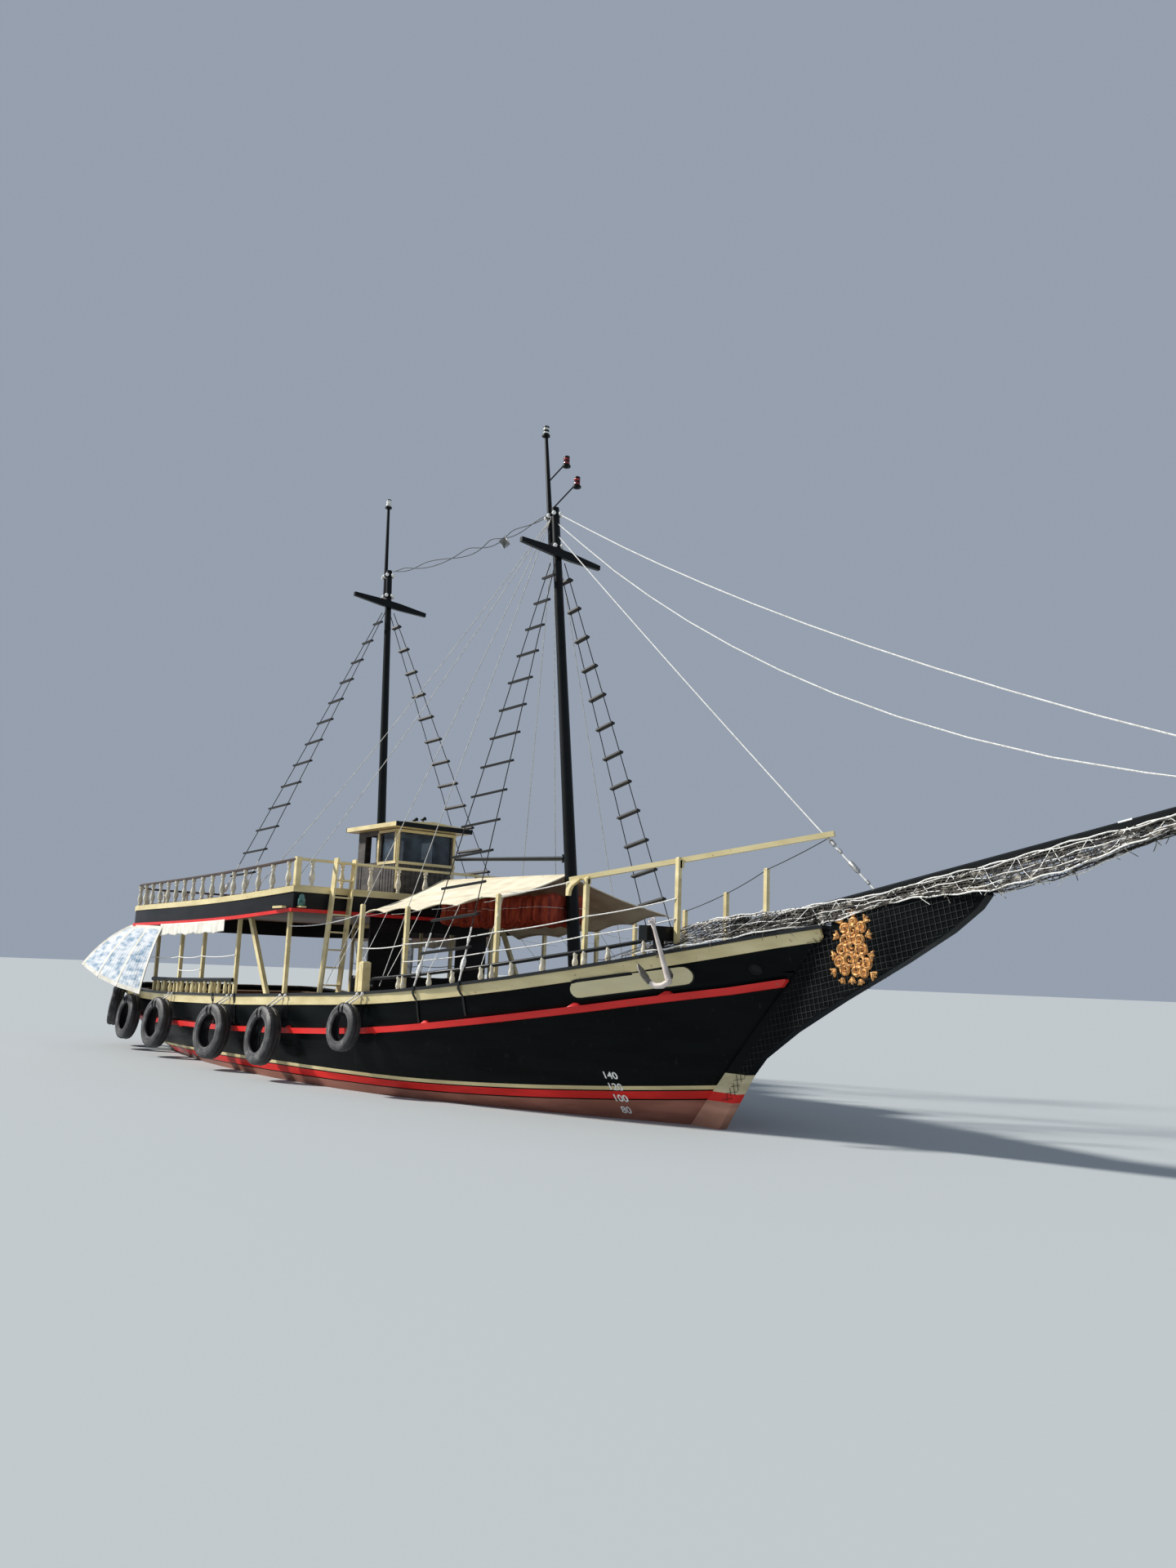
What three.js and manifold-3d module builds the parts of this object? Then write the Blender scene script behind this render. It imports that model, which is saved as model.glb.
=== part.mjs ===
// A two-masted wooden excursion launch afloat, in millimetres.
// +X is forward, +Y is port and +Z is up. The origin is amidships on the centreline at the waterline.
import * as THREE from 'three';
import { mergeVertices } from 'three/addons/utils/BufferGeometryUtils.js';
import Module from 'manifold-3d';

const wasm = await Module();
wasm.setup();

// Clearances between pieces that touch and between pieces that move
const GAP = 0.3;
const SKIN_GAP = 0.4;
const MOVING_GAP = 5;

// Hull lines, one row for each station:
// x, planking bottom, rail top, rub rail height, half breadth at the rail,
// and that half breadth's share at 1/5, 2/5, 3/5 and 4/5 of the height
const HULL_LINES = [
  [-13400, 1040, 1880, 1140, 2300, 0.72, 0.88, 0.95, 0.99],
  [-13250, 970, 1870, 1125, 2820, 0.75, 0.90, 0.96, 0.99],
  [-13050, 890, 1860, 1110, 3160, 0.77, 0.90, 0.96, 0.99],
  [-12350, 540, 1810, 1040, 3550, 0.76, 0.91, 0.97, 0.99],
  [-11350, 210, 1755, 965, 3670, 0.78, 0.92, 0.97, 0.99],
  [-10150, -120, 1725, 905, 3745, 0.78, 0.92, 0.97, 0.99],
  [-8850, -500, 1720, 915, 3800, 0.73, 0.91, 0.97, 0.99],
  [-5800, -930, 1780, 960, 3900, 0.72, 0.92, 0.97, 0.99],
  [-2800, -1080, 1860, 1030, 3860, 0.78, 0.95, 0.98, 1],
  [200, -1130, 1990, 1160, 3750, 0.77, 0.94, 0.98, 1],
  [2700, -1140, 2110, 1310, 3560, 0.65, 0.88, 0.95, 0.98],
  [4650, -1130, 2285, 1515, 3270, 0.50, 0.77, 0.90, 0.96],
  [6650, -1060, 2552, 1800, 2680, 0.40, 0.63, 0.80, 0.92],
  [8100, -760, 2807, 2040, 2070, 0.28, 0.52, 0.72, 0.88],
  [8800, -240, 2937, 2165, 1770, 0.26, 0.49, 0.70, 0.86],
  [9480, 560, 3081, 2285, 1465, 0.28, 0.49, 0.68, 0.85],
  [10460, 1690, 3278, 2450, 1000, 0.31, 0.50, 0.69, 0.85],
  [11380, 2700, 3476, 2640, 530, 0.42, 0.58, 0.72, 0.86],
  [12100, 3450, 3605, 3520, 170, 0.75, 0.82, 0.88, 0.94],
];
const HULL_AFT = -13400;
const HULL_FORE = 12100;
const STATION_STEP = 1300;
const KEEL_HALF = 110;

// Bulwark, deck and rails
const BULWARK_HEIGHT = 650;
const BULWARK_PLANK = 110;
const BREASTHOOK_X = 11480;
const BOW_BLOCK_X = 10960;
const DECK_PLANK = 40;
const CAP = { depth: 60, inboard: 165, outboard: 55 };
const SHEER_BAND = { depth: 200, proud: 35, foreEnd: 12090 };
const RUB_RAIL = { depth: 120, proud: 90, foreEnd: 11350 };

// Upper deck: x, height of its edge, half breadth
const UPPER_LINES = [
  [-12950, 4140, 2100],
  [-12850, 4140, 2620],
  [-12700, 4140, 2960],
  [-12350, 4145, 3380],
  [-11750, 4150, 3680],
  [-11150, 4160, 3850],
  [-8800, 4170, 3960],
  [-5800, 4190, 4070],
  [-2800, 4260, 4100],
  [-1300, 4340, 4010],
  [-310, 4410, 3890],
];
const UPPER_PLATE = { top: 40, under: 140 };
const FASCIA = { depth: 600, board: 45 };
const EDGE_BAND = { proud: 25 };
const EDGE_RUB = { depth: 80, proud: 60 };
const UPPER_RAIL = { height: 660, depth: 60, width: 80, inset: 12, balusterStep: 430, baluster: 60 };

// Masts, yards and boom: foot and head on the centreline as [x, z], with radii
const MAIN_MAST = { foot: [5420, 1830], head: [3860, 13445], footR: 150, headR: 95 };
const MAIN_TOPMAST = { foot: [3785, 12430], head: [3360, 15455], footR: 70, headR: 45 };
const AFT_MAST = { foot: [-3317, 4090], head: [-4010, 13870], footR: 130, headR: 85 };
const AFT_TOPMAST = { foot: [-4150, 12985], head: [-4310, 15895], footR: 60, headR: 40 };
const MAIN_YARD = { z: 12240, half: 1150 };
const AFT_YARD = { z: 12815, half: 1150 };
const YARD = { thick: 90, depth: 200, tipDepth: 110, broad: 0.25, cantDeg: 3 };
const BOOM = { z: 5120, reach: 4440, rise: 205, radius: 50, pinBack: 90, pinR: 34, jaw: 61.5 };

// Bowsprit: height of its top edge at x, its slope, its ends and its section
const SPRIT = { x: 12960, top: 4165, slope: 0.1919, heel: 10060, tip: 19800 };
const SPRIT_SIZE = { heelDepth: 290, tipDepth: 140, heelHalf: 125, tipHalf: 65 };

// Wheelhouse on the upper deck
const HOUSE = { aft: -3080, fore: -1050, half: 860, wall: 40, sill: 5290, head: 6050, eaves: 6130 };
const HOUSE_ROOF = { aft: -3280, fore: -680, half: 1130, edge: 110, rise: 200 };
const DOOR = { aft: -2800, fore: -2000, foot: 4460, head: 6080, frame: 90, gap: MOVING_GAP };

// Rudder, propeller and helm
const RUDDER = { x: -10450, stockR: 45, boreR: 62, boreTop: 260, foot: -1320, top: -150, chord: 680, lead: 130 };
const SCREW = { x: -9850, z: -850, radius: 420, hubR: 95, hubLength: 190, shaftR: 35, blades: 4 };
const HELM = { x: -1780, z: 5260, radius: 330 };

const lerp = (a, b, t) => a + (b - a) * t;

// A smooth curve through the rows of a table, sampled at x
function smoothRow(rows, x) {
  const last = rows.length - 1;
  let i = 0;
  while (i < last - 1 && x > rows[i + 1][0]) i++;
  const [p, q] = [rows[i], rows[i + 1]];
  const before = rows[Math.max(i - 1, 0)];
  const after = rows[Math.min(i + 2, last)];
  const span = q[0] - p[0];
  const t = Math.min(Math.max((x - p[0]) / span, 0), 1);
  const h = [2 * t ** 3 - 3 * t ** 2 + 1, t ** 3 - 2 * t ** 2 + t, -2 * t ** 3 + 3 * t ** 2, t ** 3 - t ** 2];
  return p.map((value, k) => {
    if (k === 0) return x;
    const startSlope = (q[k] - before[k]) / (q[0] - before[0]);
    const endSlope = (after[k] - p[k]) / (after[0] - p[0]);
    return h[0] * value + h[1] * span * startSlope + h[2] * q[k] + h[3] * span * endSlope;
  });
}

// Values between the cut stations lie on straight lines, as the faces of the lofts do
function rowAt(stations, x) {
  let i = 0;
  while (i < stations.length - 2 && x > stations[i + 1][0]) i++;
  const t = Math.min(Math.max((x - stations[i][0]) / (stations[i + 1][0] - stations[i][0]), 0), 1);
  return stations[i].map((value, k) => lerp(value, stations[i + 1][k], t));
}

function stationsOf(rows, step) {
  const xs = new Set(rows.map((row) => row[0]));
  for (let i = 0; i < rows.length - 1; i++) {
    const span = rows[i + 1][0] - rows[i][0];
    const parts = Math.max(1, Math.round(span / step));
    for (let k = 1; k < parts; k++) xs.add(Math.round(rows[i][0] + (span * k) / parts));
  }
  return [...xs].sort((a, b) => a - b).map((x) => smoothRow(rows, x));
}

const hullStations = stationsOf(HULL_LINES, STATION_STEP);
const upperStations = stationsOf(UPPER_LINES, 1500);
const bottomZ = (x) => rowAt(hullStations, x)[1];
const sheerZ = (x) => rowAt(hullStations, x)[2];
const rubZ = (x) => rowAt(hullStations, x)[3];
const sheerHalf = (x) => rowAt(hullStations, x)[4];
const deckZ = (x) => sheerZ(x) - BULWARK_HEIGHT;
const deckTop = (x) => deckZ(x) + DECK_PLANK;
const edgeZ = (x) => rowAt(upperStations, x)[1];
const upperHalf = (x) => rowAt(upperStations, x)[2];
const upperTop = (x) => edgeZ(x) - UPPER_PLATE.top;

// A closed geometry as a solid, turned the right way out
function solid(geometry) {
  const plain = geometry.index ? geometry.toNonIndexed() : geometry.clone();
  plain.deleteAttribute('normal');
  plain.deleteAttribute('uv');
  const merged = mergeVertices(plain, 1e-3);
  const p = merged.attributes.position.array;
  const t = new Uint32Array(merged.index.array);
  let volume = 0;
  for (let i = 0; i < t.length; i += 3) {
    const [a, b, c] = [t[i] * 3, t[i + 1] * 3, t[i + 2] * 3];
    volume += p[a] * (p[b + 1] * p[c + 2] - p[b + 2] * p[c + 1])
      + p[a + 1] * (p[b + 2] * p[c] - p[b] * p[c + 2])
      + p[a + 2] * (p[b] * p[c + 1] - p[b + 1] * p[c]);
  }
  if (volume < 0) for (let i = 0; i < t.length; i += 3) [t[i + 1], t[i + 2]] = [t[i + 2], t[i + 1]];
  return new wasm.Manifold(new wasm.Mesh({ numProp: 3, vertProperties: p, triVerts: t }));
}

const join = (solids) => solids.reduce((sum, next) => sum.add(next));

// A loft through rings with the same number of points, closed at both ends
function loft(rings) {
  const n = rings[0].length;
  const flat = rings.flat(2);
  const index = [];
  for (let r = 0; r < rings.length - 1; r++) {
    for (let k = 0; k < n; k++) {
      const [a, b] = [r * n + k, r * n + ((k + 1) % n)];
      index.push(a, b, b + n, a, b + n, a + n);
    }
  }
  const cap = (r, flip) => {
    const outline = rings[r].map(([, y, z]) => new THREE.Vector2(y, z));
    for (const [a, b, c] of THREE.ShapeUtils.triangulateShape(outline, [])) {
      const face = flip ? [c, b, a] : [a, b, c];
      index.push(...face.map((i) => r * n + i));
    }
  };
  const ring0 = rings[0].map(([, y, z]) => new THREE.Vector2(y, z));
  const clockwise = THREE.ShapeUtils.area(ring0) < 0;
  cap(0, !clockwise);
  cap(rings.length - 1, clockwise);
  const geometry = new THREE.BufferGeometry();
  geometry.setAttribute('position', new THREE.Float32BufferAttribute(flat, 3));
  geometry.setIndex(index);
  return solid(geometry);
}

// A thin sheet over a grid of points, with its other face moved by an offset and split along the same diagonals
function sheet(grid, [dx, dy, dz]) {
  const [rows, columns] = [grid.length, grid[0].length];
  const points = grid.flat();
  const at = (i, j, under) => (under * rows + i) * columns + j;
  const index = [];
  for (let i = 0; i < rows - 1; i++) {
    for (let j = 0; j < columns - 1; j++) {
      index.push(at(i, j, 0), at(i, j + 1, 0), at(i + 1, j + 1, 0), at(i, j, 0), at(i + 1, j + 1, 0), at(i + 1, j, 0));
      index.push(at(i, j, 1), at(i + 1, j + 1, 1), at(i, j + 1, 1), at(i, j, 1), at(i + 1, j, 1), at(i + 1, j + 1, 1));
    }
  }
  const wall = (a, b) => index.push(at(...b, 0), at(...a, 0), at(...a, 1), at(...b, 0), at(...a, 1), at(...b, 1));
  for (let j = 0; j < columns - 1; j++) {
    wall([0, j], [0, j + 1]);
    wall([rows - 1, j + 1], [rows - 1, j]);
  }
  for (let i = 0; i < rows - 1; i++) {
    wall([i + 1, 0], [i, 0]);
    wall([i, columns - 1], [i + 1, columns - 1]);
  }
  const geometry = new THREE.BufferGeometry();
  const positions = [...points, ...points.map(([x, y, z]) => [x + dx, y + dy, z + dz])].flat();
  geometry.setAttribute('position', new THREE.Float32BufferAttribute(positions, 3));
  geometry.setIndex(index);
  return solid(geometry);
}

// A box between two corners
function box(x0, x1, y0, y1, z0, z1) {
  const geometry = new THREE.BoxGeometry(x1 - x0, y1 - y0, z1 - z0);
  geometry.translate((x0 + x1) / 2, (y0 + y1) / 2, (z0 + z1) / 2);
  return solid(geometry);
}

// A geometry made along +Y, laid from one point to another
function laid(geometry, from, to) {
  const [a, b] = [new THREE.Vector3(...from), new THREE.Vector3(...to)];
  const turn = new THREE.Quaternion().setFromUnitVectors(
    new THREE.Vector3(0, 1, 0), b.clone().sub(a).normalize());
  geometry.applyQuaternion(turn);
  const middle = a.add(b).multiplyScalar(0.5);
  geometry.translate(middle.x, middle.y, middle.z);
  return solid(geometry);
}

function distance(from, to) {
  return new THREE.Vector3(...from).distanceTo(new THREE.Vector3(...to));
}

// A round bar from one point to another
function rod(from, to, r0, r1 = r0, sides = 8) {
  return laid(new THREE.CylinderGeometry(r1, r0, distance(from, to), sides), from, to);
}

// An upright timber of rectangular section whose foot and head may lie in different places
function timber(foot, head, sizeX, sizeY) {
  const ring = ([x, y, z]) => [[-1, -1], [1, -1], [1, 1], [-1, 1]].map(
    ([i, j]) => [x + (i * sizeX) / 2, y + (j * sizeY) / 2, z]);
  const points = [...ring(foot), ...ring(head)].flat();
  const index = [0, 1, 5, 0, 5, 4, 1, 2, 6, 1, 6, 5, 2, 3, 7, 2, 7, 6, 3, 0, 4, 3, 4, 7,
    0, 3, 2, 0, 2, 1, 4, 5, 6, 4, 6, 7];
  const geometry = new THREE.BufferGeometry();
  geometry.setAttribute('position', new THREE.Float32BufferAttribute(points, 3));
  geometry.setIndex(index);
  return solid(geometry);
}

// A lengthwise or crosswise beam between two points, upright in section, lapped a little past both
const JOINT_LAP = 4;
function beam(from, to, width, depth) {
  const along = new THREE.Vector3(to[0] - from[0], to[1] - from[1], 0).normalize();
  const side = new THREE.Vector3(-along.y, along.x, 0).multiplyScalar(width / 2);
  const corners = (p, lap) => [[-1, -1], [1, -1], [1, 1], [-1, 1]].map(([i, j]) => [
    p[0] + i * side.x + lap * along.x, p[1] + i * side.y + lap * along.y, p[2] + (j * depth) / 2]);
  const points = [...corners(from, -JOINT_LAP), ...corners(to, JOINT_LAP)].flat();
  const index = [0, 1, 5, 0, 5, 4, 1, 2, 6, 1, 6, 5, 2, 3, 7, 2, 7, 6, 3, 0, 4, 3, 4, 7,
    0, 3, 2, 0, 2, 1, 4, 5, 6, 4, 6, 7];
  const geometry = new THREE.BufferGeometry();
  geometry.setAttribute('position', new THREE.Float32BufferAttribute(points, 3));
  geometry.setIndex(index);
  return solid(geometry);
}

// A flat plate cut to an outline of [x, z] points, of a thickness across the boat
function sidePlate(outline, y0, y1) {
  const shape = new THREE.Shape(outline.map(([x, z]) => new THREE.Vector2(x, z)));
  const geometry = new THREE.ExtrudeGeometry(shape, { depth: y1 - y0, bevelEnabled: false });
  geometry.rotateX(Math.PI / 2);
  geometry.translate(0, y1, 0);
  return solid(geometry);
}

// The share of the rail's half breadth at a fraction of the section's height
function fullness(row, t) {
  const knots = [KEEL_HALF / row[4], row[5], row[6], row[7], row[8], 1];
  const u = Math.min(Math.max(t, 0), 1) * 5;
  const i = Math.min(Math.floor(u), 4);
  const f = u - i;
  const at = (k) => (k < 0 ? 2 * knots[0] - knots[1] : k > 5 ? 2 * knots[5] - knots[4] : knots[k]);
  const slope = (k) => (at(k + 1) - at(k - 1)) / 2;
  return (2 * f ** 3 - 3 * f ** 2 + 1) * knots[i] + (f ** 3 - 2 * f ** 2 + f) * slope(i)
    + (3 * f ** 2 - 2 * f ** 3) * knots[i + 1] + (f ** 3 - f ** 2) * slope(i + 1);
}

const SECTION_LEVELS = [0, 0.08, 0.16, 0.25, 0.35, 0.45, 0.55, 0.7, 0.85, 1];

// The half breadth of the planking at x and height z
function hullHalf(x, z) {
  const row = rowAt(hullStations, x);
  return fullness(row, (z - row[1]) / (row[2] - row[1])) * row[4];
}

// The whole body inside the planking, swollen sideways and at both ends by an offset
function envelope(offset, lower = 0) {
  const rings = hullStations.map((row, i) => {
    const end = i === 0 ? -offset : i === hullStations.length - 1 ? offset : 0;
    const side = SECTION_LEVELS.map((t) => [
      row[0] + end,
      Math.max(fullness(row, t) * row[4] + offset, 12),
      lerp(row[1] - (t === 0 ? lower : 0), row[2], t),
    ]);
    return [...side, ...side.map(([x, y, z]) => [x, -y, z]).reverse()];
  });
  return loft(rings);
}

// A slab over the whole breadth between two heights that follow x
const SLAB_HALF = 5500;
function slab(stations, low, high, from = stations[0][0], to = stations[stations.length - 1][0], reach = 200) {
  const xs = stations.map((row) => row[0]).filter((x) => x > from && x < to);
  const ends = reach ? [[from - reach, from], [to + reach, to]] : [];
  const places = [...ends.slice(0, 1), ...[from, ...xs, to].map((x) => [x, x]), ...ends.slice(1)];
  return loft(places.map(([place, x]) => [[place, -SLAB_HALF, low(x)], [place, SLAB_HALF, low(x)],
    [place, SLAB_HALF, high(x)], [place, -SLAB_HALF, high(x)]]));
}

// An upright block over a plan outline, swollen by an offset
function planBlock(stations, half, offset, low, high) {
  const rings = stations.map((row, i) => {
    const end = i === 0 ? -offset : i === stations.length - 1 ? offset : 0;
    const y = Math.max(half(row[0]) + offset, 15);
    return [[row[0] + end, -y, low], [row[0] + end, y, low], [row[0] + end, y, high], [row[0] + end, -y, high]];
  });
  return loft(rings);
}

const ABOVE = 20000;
const hullPlan = (offset) => planBlock(hullStations, sheerHalf, offset, -3000, 6000);
const upperPlan = (offset) => planBlock(upperStations, upperHalf, offset, 3000, 7000);
const starboardOnly = box(-16000, 21000, -6000, -GAP / 2, -4000, ABOVE);
const portOnly = box(-16000, 21000, GAP / 2, 6000, -4000, ABOVE);
const SIDES = [['starboard', -1, starboardOnly], ['port', 1, portOnly]];

// Finishes: colour, roughness, metalness
const FINISHES = {
  hull_black: [0x15171b, 0.28, 0],
  trim_cream: [0xdecd8c, 0.5, 0],
  rail_red: [0xd8302f, 0.4, 0],
  spar_black: [0x121316, 0.4, 0],
  deck_wood: [0x8a6a48, 0.8, 0],
  board_black: [0x1c1d20, 0.6, 0],
  canvas: [0xd6cbb4, 0.9, 0],
  vest_orange: [0xb8461f, 0.85, 0],
  clear_vinyl: [0xc8d8e2, 0.25, 0],
  rope_white: [0xd9d5c8, 0.85, 0],
  rope_dark: [0x1b1b1d, 0.9, 0],
  tyre_rubber: [0x16161a, 0.85, 0],
  galvanised: [0xb9b5aa, 0.5, 0.6],
  bronze: [0x9a7440, 0.35, 1],
  engine_grey: [0x4e5a60, 0.5, 0.5],
  window_glass: [0x9fb6bd, 0.08, 0],
};
const materials = Object.fromEntries(Object.entries(FINISHES).map(([name, [color, roughness, metalness]]) => [
  name, new THREE.MeshStandardMaterial({ name, color, roughness, metalness }),
]));

const boat = new THREE.Group();
boat.name = 'motor_launch';

// Puts a solid in the boat as one named mesh
function place(name, finish, made) {
  const mesh = made.getMesh();
  const geometry = new THREE.BufferGeometry();
  geometry.setAttribute('position', new THREE.Float32BufferAttribute(mesh.vertProperties, 3));
  geometry.setIndex(new THREE.BufferAttribute(mesh.triVerts, 1));
  const piece = new THREE.Mesh(geometry, materials[finish]);
  piece.name = name;
  boat.add(piece);
}

// Rudder stock bore and engine bay that are cut into the hull
const ENGINE_BAY = { aft: -6950, fore: -4850, half: 650, floor: -480 };

// Hull: the planked body up to the deck, with the solid breasthook at the bow
const hullBody = envelope(0);
const aboveDeck = slab(hullStations, deckZ, () => ABOVE, HULL_AFT, BREASTHOOK_X - 200);
const belowCap = slab(hullStations, () => -4000, (x) => sheerZ(x) - CAP.depth - GAP);
const stockBore = rod([RUDDER.x, 0, -600], [RUDDER.x, 0, RUDDER.boreTop], RUDDER.boreR, RUDDER.boreR, 24);
const engineBay = box(ENGINE_BAY.aft, ENGINE_BAY.fore, -ENGINE_BAY.half, ENGINE_BAY.half, ENGINE_BAY.floor, 3000);
place('hull', 'hull_black', hullBody.intersect(belowCap).subtract(aboveDeck).subtract(stockBore).subtract(engineBay));

// Keel with the sternpost, the heel under the propeller and the shaft's bearing
const KEEL = { aft: -9500, fore: 7900, half: 100, under: -1500, heelEnd: -10640, heelTop: -1365 };
const keelRings = hullStations.map((row) => row[0]).filter((x) => x > KEEL.aft && x < KEEL.fore);
const keelBlock = loft([KEEL.aft, ...keelRings, KEEL.fore].map((x) => [
  [x, -KEEL.half, KEEL.under], [x, KEEL.half, KEEL.under],
  [x, KEEL.half, bottomZ(x) + 200], [x, -KEEL.half, bottomZ(x) + 200],
]));
const hullClear = envelope(SKIN_GAP, SKIN_GAP);
const heel = box(KEEL.heelEnd, KEEL.aft + 50, -KEEL.half, KEEL.half, KEEL.under, KEEL.heelTop);
const shaftBore = rod([SCREW.x, 0, SCREW.z], [SCREW.x + 800, 0, SCREW.z], SCREW.shaftR + 1, SCREW.shaftR + 1, 24);
place('keel', 'hull_black', keelBlock.add(heel).subtract(hullClear).subtract(shaftBore));

// Bowsprit, a tapered timber with its heel in the post on the foredeck
const spritTop = (x) => SPRIT.top + SPRIT.slope * (x - SPRIT.x);
const spritShare = (x) => (x - SPRIT.heel) / (SPRIT.tip - SPRIT.heel);
const spritDepth = (x) => lerp(SPRIT_SIZE.heelDepth, SPRIT_SIZE.tipDepth, spritShare(x));
const spritHalf = (x) => lerp(SPRIT_SIZE.heelHalf, SPRIT_SIZE.tipHalf, spritShare(x));
const spritUnder = (x) => spritTop(x) - spritDepth(x);
function spritTimber(extra) {
  return loft([SPRIT.heel, SPRIT.tip].map((x) => {
    const [half, top, under] = [spritHalf(x) + extra, spritTop(x) + extra, spritUnder(x) - extra];
    const corner = half * 0.35;
    return [
      [x, -half + corner, under], [x, half - corner, under], [x, half, under + corner], [x, half, top - corner],
      [x, half - corner, top], [x, -half + corner, top], [x, -half, top - corner], [x, -half, under + corner],
    ];
  }));
}
const SAMSON = { x: 10060, half: 120, top: 3800 };
const samsonPost = box(SAMSON.x - SAMSON.half, SAMSON.x + SAMSON.half, -SAMSON.half, SAMSON.half,
  deckTop(SAMSON.x + SAMSON.half) + GAP, SAMSON.top);
place('bowsprit', 'spar_black', spritTimber(0).add(samsonPost));

// Cutwater: the deep knee of the head under the bowsprit, as [x, z] points of its outline
const CUTWATER_EDGE = [
  [KEEL.fore + GAP, KEEL.under], [8450, -1250], [9120, -720], [9730, 0], [10400, 995], [10680, 1305], [11420, 1805],
  [12435, 2370], [13660, 3005], [14525, 3490], [15005, 3840], [15165, 4035], [15125, 4175],
];
const cutwaterTop = [14860, 13930, 13100, 12250].map((x) => [x, spritUnder(x) - 1]);
const cutwaterBack = [[12250, 3500], [11380, 2900], [8650, 200], [KEEL.fore + GAP, -500]];
const cutwaterPlate = sidePlate([...CUTWATER_EDGE, ...cutwaterTop, ...cutwaterBack], -KEEL.half, KEEL.half);
const stemHeadClear = box(11000, 12240, -300, 300, 3450, 4200);
place('cutwater', 'hull_black', cutwaterPlate.subtract(hullClear).subtract(stemHeadClear)
  .subtract(spritTimber(SKIN_GAP)));

// Main deck, laid inside the bulwarks and pierced for the mast and the bowsprit's post
const insidePlanking = envelope(-BULWARK_PLANK - 1).intersect(hullPlan(-BULWARK_PLANK - 1));
const deckBoards = slab(hullStations, (x) => deckZ(x) + GAP, deckTop, HULL_AFT, BOW_BLOCK_X - GAP, 0);
place('main_deck', 'deck_wood', insidePlanking.intersect(deckBoards));

// Bulwarks, from the deck's edge to under the cap rail, meeting at the middle of the stern
const bulwarkBand = slab(hullStations, (x) => deckZ(x) + GAP, (x) => sheerZ(x) - CAP.depth - GAP,
  HULL_AFT, BREASTHOOK_X, 0).subtract(box(BREASTHOOK_X - GAP, 13000, -3000, 3000, 0, 5000));
const insideBulwark = envelope(-BULWARK_PLANK).intersect(hullPlan(-BULWARK_PLANK))
  .subtract(box(BOW_BLOCK_X, 13000, -3000, 3000, 0, 5000));
const bulwarks = hullBody.intersect(bulwarkBand).subtract(insideBulwark);

// Cap rail, sheer band and rub rail, each in halves that meet at the stern and the stem
const capRing = hullPlan(CAP.outboard).subtract(hullPlan(-CAP.inboard))
  .intersect(slab(hullStations, (x) => sheerZ(x) - CAP.depth, sheerZ, HULL_AFT, HULL_FORE + 50));
const bandRing = envelope(SHEER_BAND.proud).subtract(envelope(SKIN_GAP))
  .intersect(slab(hullStations, (x) => sheerZ(x) - CAP.depth - SHEER_BAND.depth,
    (x) => sheerZ(x) - CAP.depth - GAP, HULL_AFT, SHEER_BAND.foreEnd))
  .subtract(box(BREASTHOOK_X, HULL_FORE + 100, -KEEL.half - SKIN_GAP, KEEL.half + SKIN_GAP, 0, 5000));
const rubRing = envelope(RUB_RAIL.proud).subtract(envelope(SKIN_GAP))
  .intersect(slab(hullStations, (x) => rubZ(x) - RUB_RAIL.depth / 2, (x) => rubZ(x) + RUB_RAIL.depth / 2,
    HULL_AFT, RUB_RAIL.foreEnd, 150)).intersect(box(-14000, RUB_RAIL.foreEnd, -5000, 5000, 0, 4000));
for (const [side, , half] of SIDES) {
  place('bulwark_' + side, 'hull_black', bulwarks.intersect(half));
  place('cap_rail_' + side, 'spar_black', capRing.intersect(half));
}
place('sheer_band', 'trim_cream', bandRing.intersect(box(-14000, SHEER_BAND.foreEnd, -5000, 5000, 0, 4000)));
place('rub_rail', 'rail_red', rubRing);

// Upper deck plate with its fascia, its cream edge band and its red rub strip
const upperPlate = upperPlan(0).intersect(slab(upperStations,
  (x) => edgeZ(x) - UPPER_PLATE.under + GAP, upperTop));
place('upper_deck', 'deck_wood', upperPlate);
const fasciaRing = upperPlan(0).subtract(upperPlan(-FASCIA.board)).intersect(slab(upperStations,
  (x) => edgeZ(x) - FASCIA.depth, (x) => edgeZ(x) - UPPER_PLATE.under));
place('deck_edge_band', 'trim_cream', upperPlan(EDGE_BAND.proud).subtract(upperPlan(SKIN_GAP)).intersect(
  slab(upperStations, (x) => edgeZ(x) - UPPER_PLATE.under, edgeZ)));
place('deck_edge_rub', 'rail_red', upperPlan(EDGE_RUB.proud).subtract(upperPlan(SKIN_GAP)).intersect(
  slab(upperStations, (x) => edgeZ(x) - FASCIA.depth, (x) => edgeZ(x) - FASCIA.depth + EDGE_RUB.depth)));

// The upper deck's plan outline from the middle of the stern round one side to the middle of the front
function upperOutline(inset) {
  const points = upperStations.map((row, i) => {
    const end = i === 0 ? inset : i === upperStations.length - 1 ? -inset : 0;
    return [row[0] + end, Math.max(row[2] - inset, 0)];
  });
  return [[points[0][0], 0], ...points, [points[points.length - 1][0], 0]];
}

// Points spaced evenly along an outline of [x, y] points
function spaced(outline, step) {
  const lengths = outline.slice(1).map(([x, y], i) => Math.hypot(x - outline[i][0], y - outline[i][1]));
  const total = lengths.reduce((sum, next) => sum + next, 0);
  const count = Math.round(total / step);
  const points = [];
  for (let k = 0; k < count; k++) {
    let run = (total * (k + 0.5)) / count;
    let i = 0;
    while (run > lengths[i]) run -= lengths[i++];
    points.push([lerp(outline[i][0], outline[i + 1][0], run / lengths[i]),
      lerp(outline[i][1], outline[i + 1][1], run / lengths[i])]);
  }
  return points;
}

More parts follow.
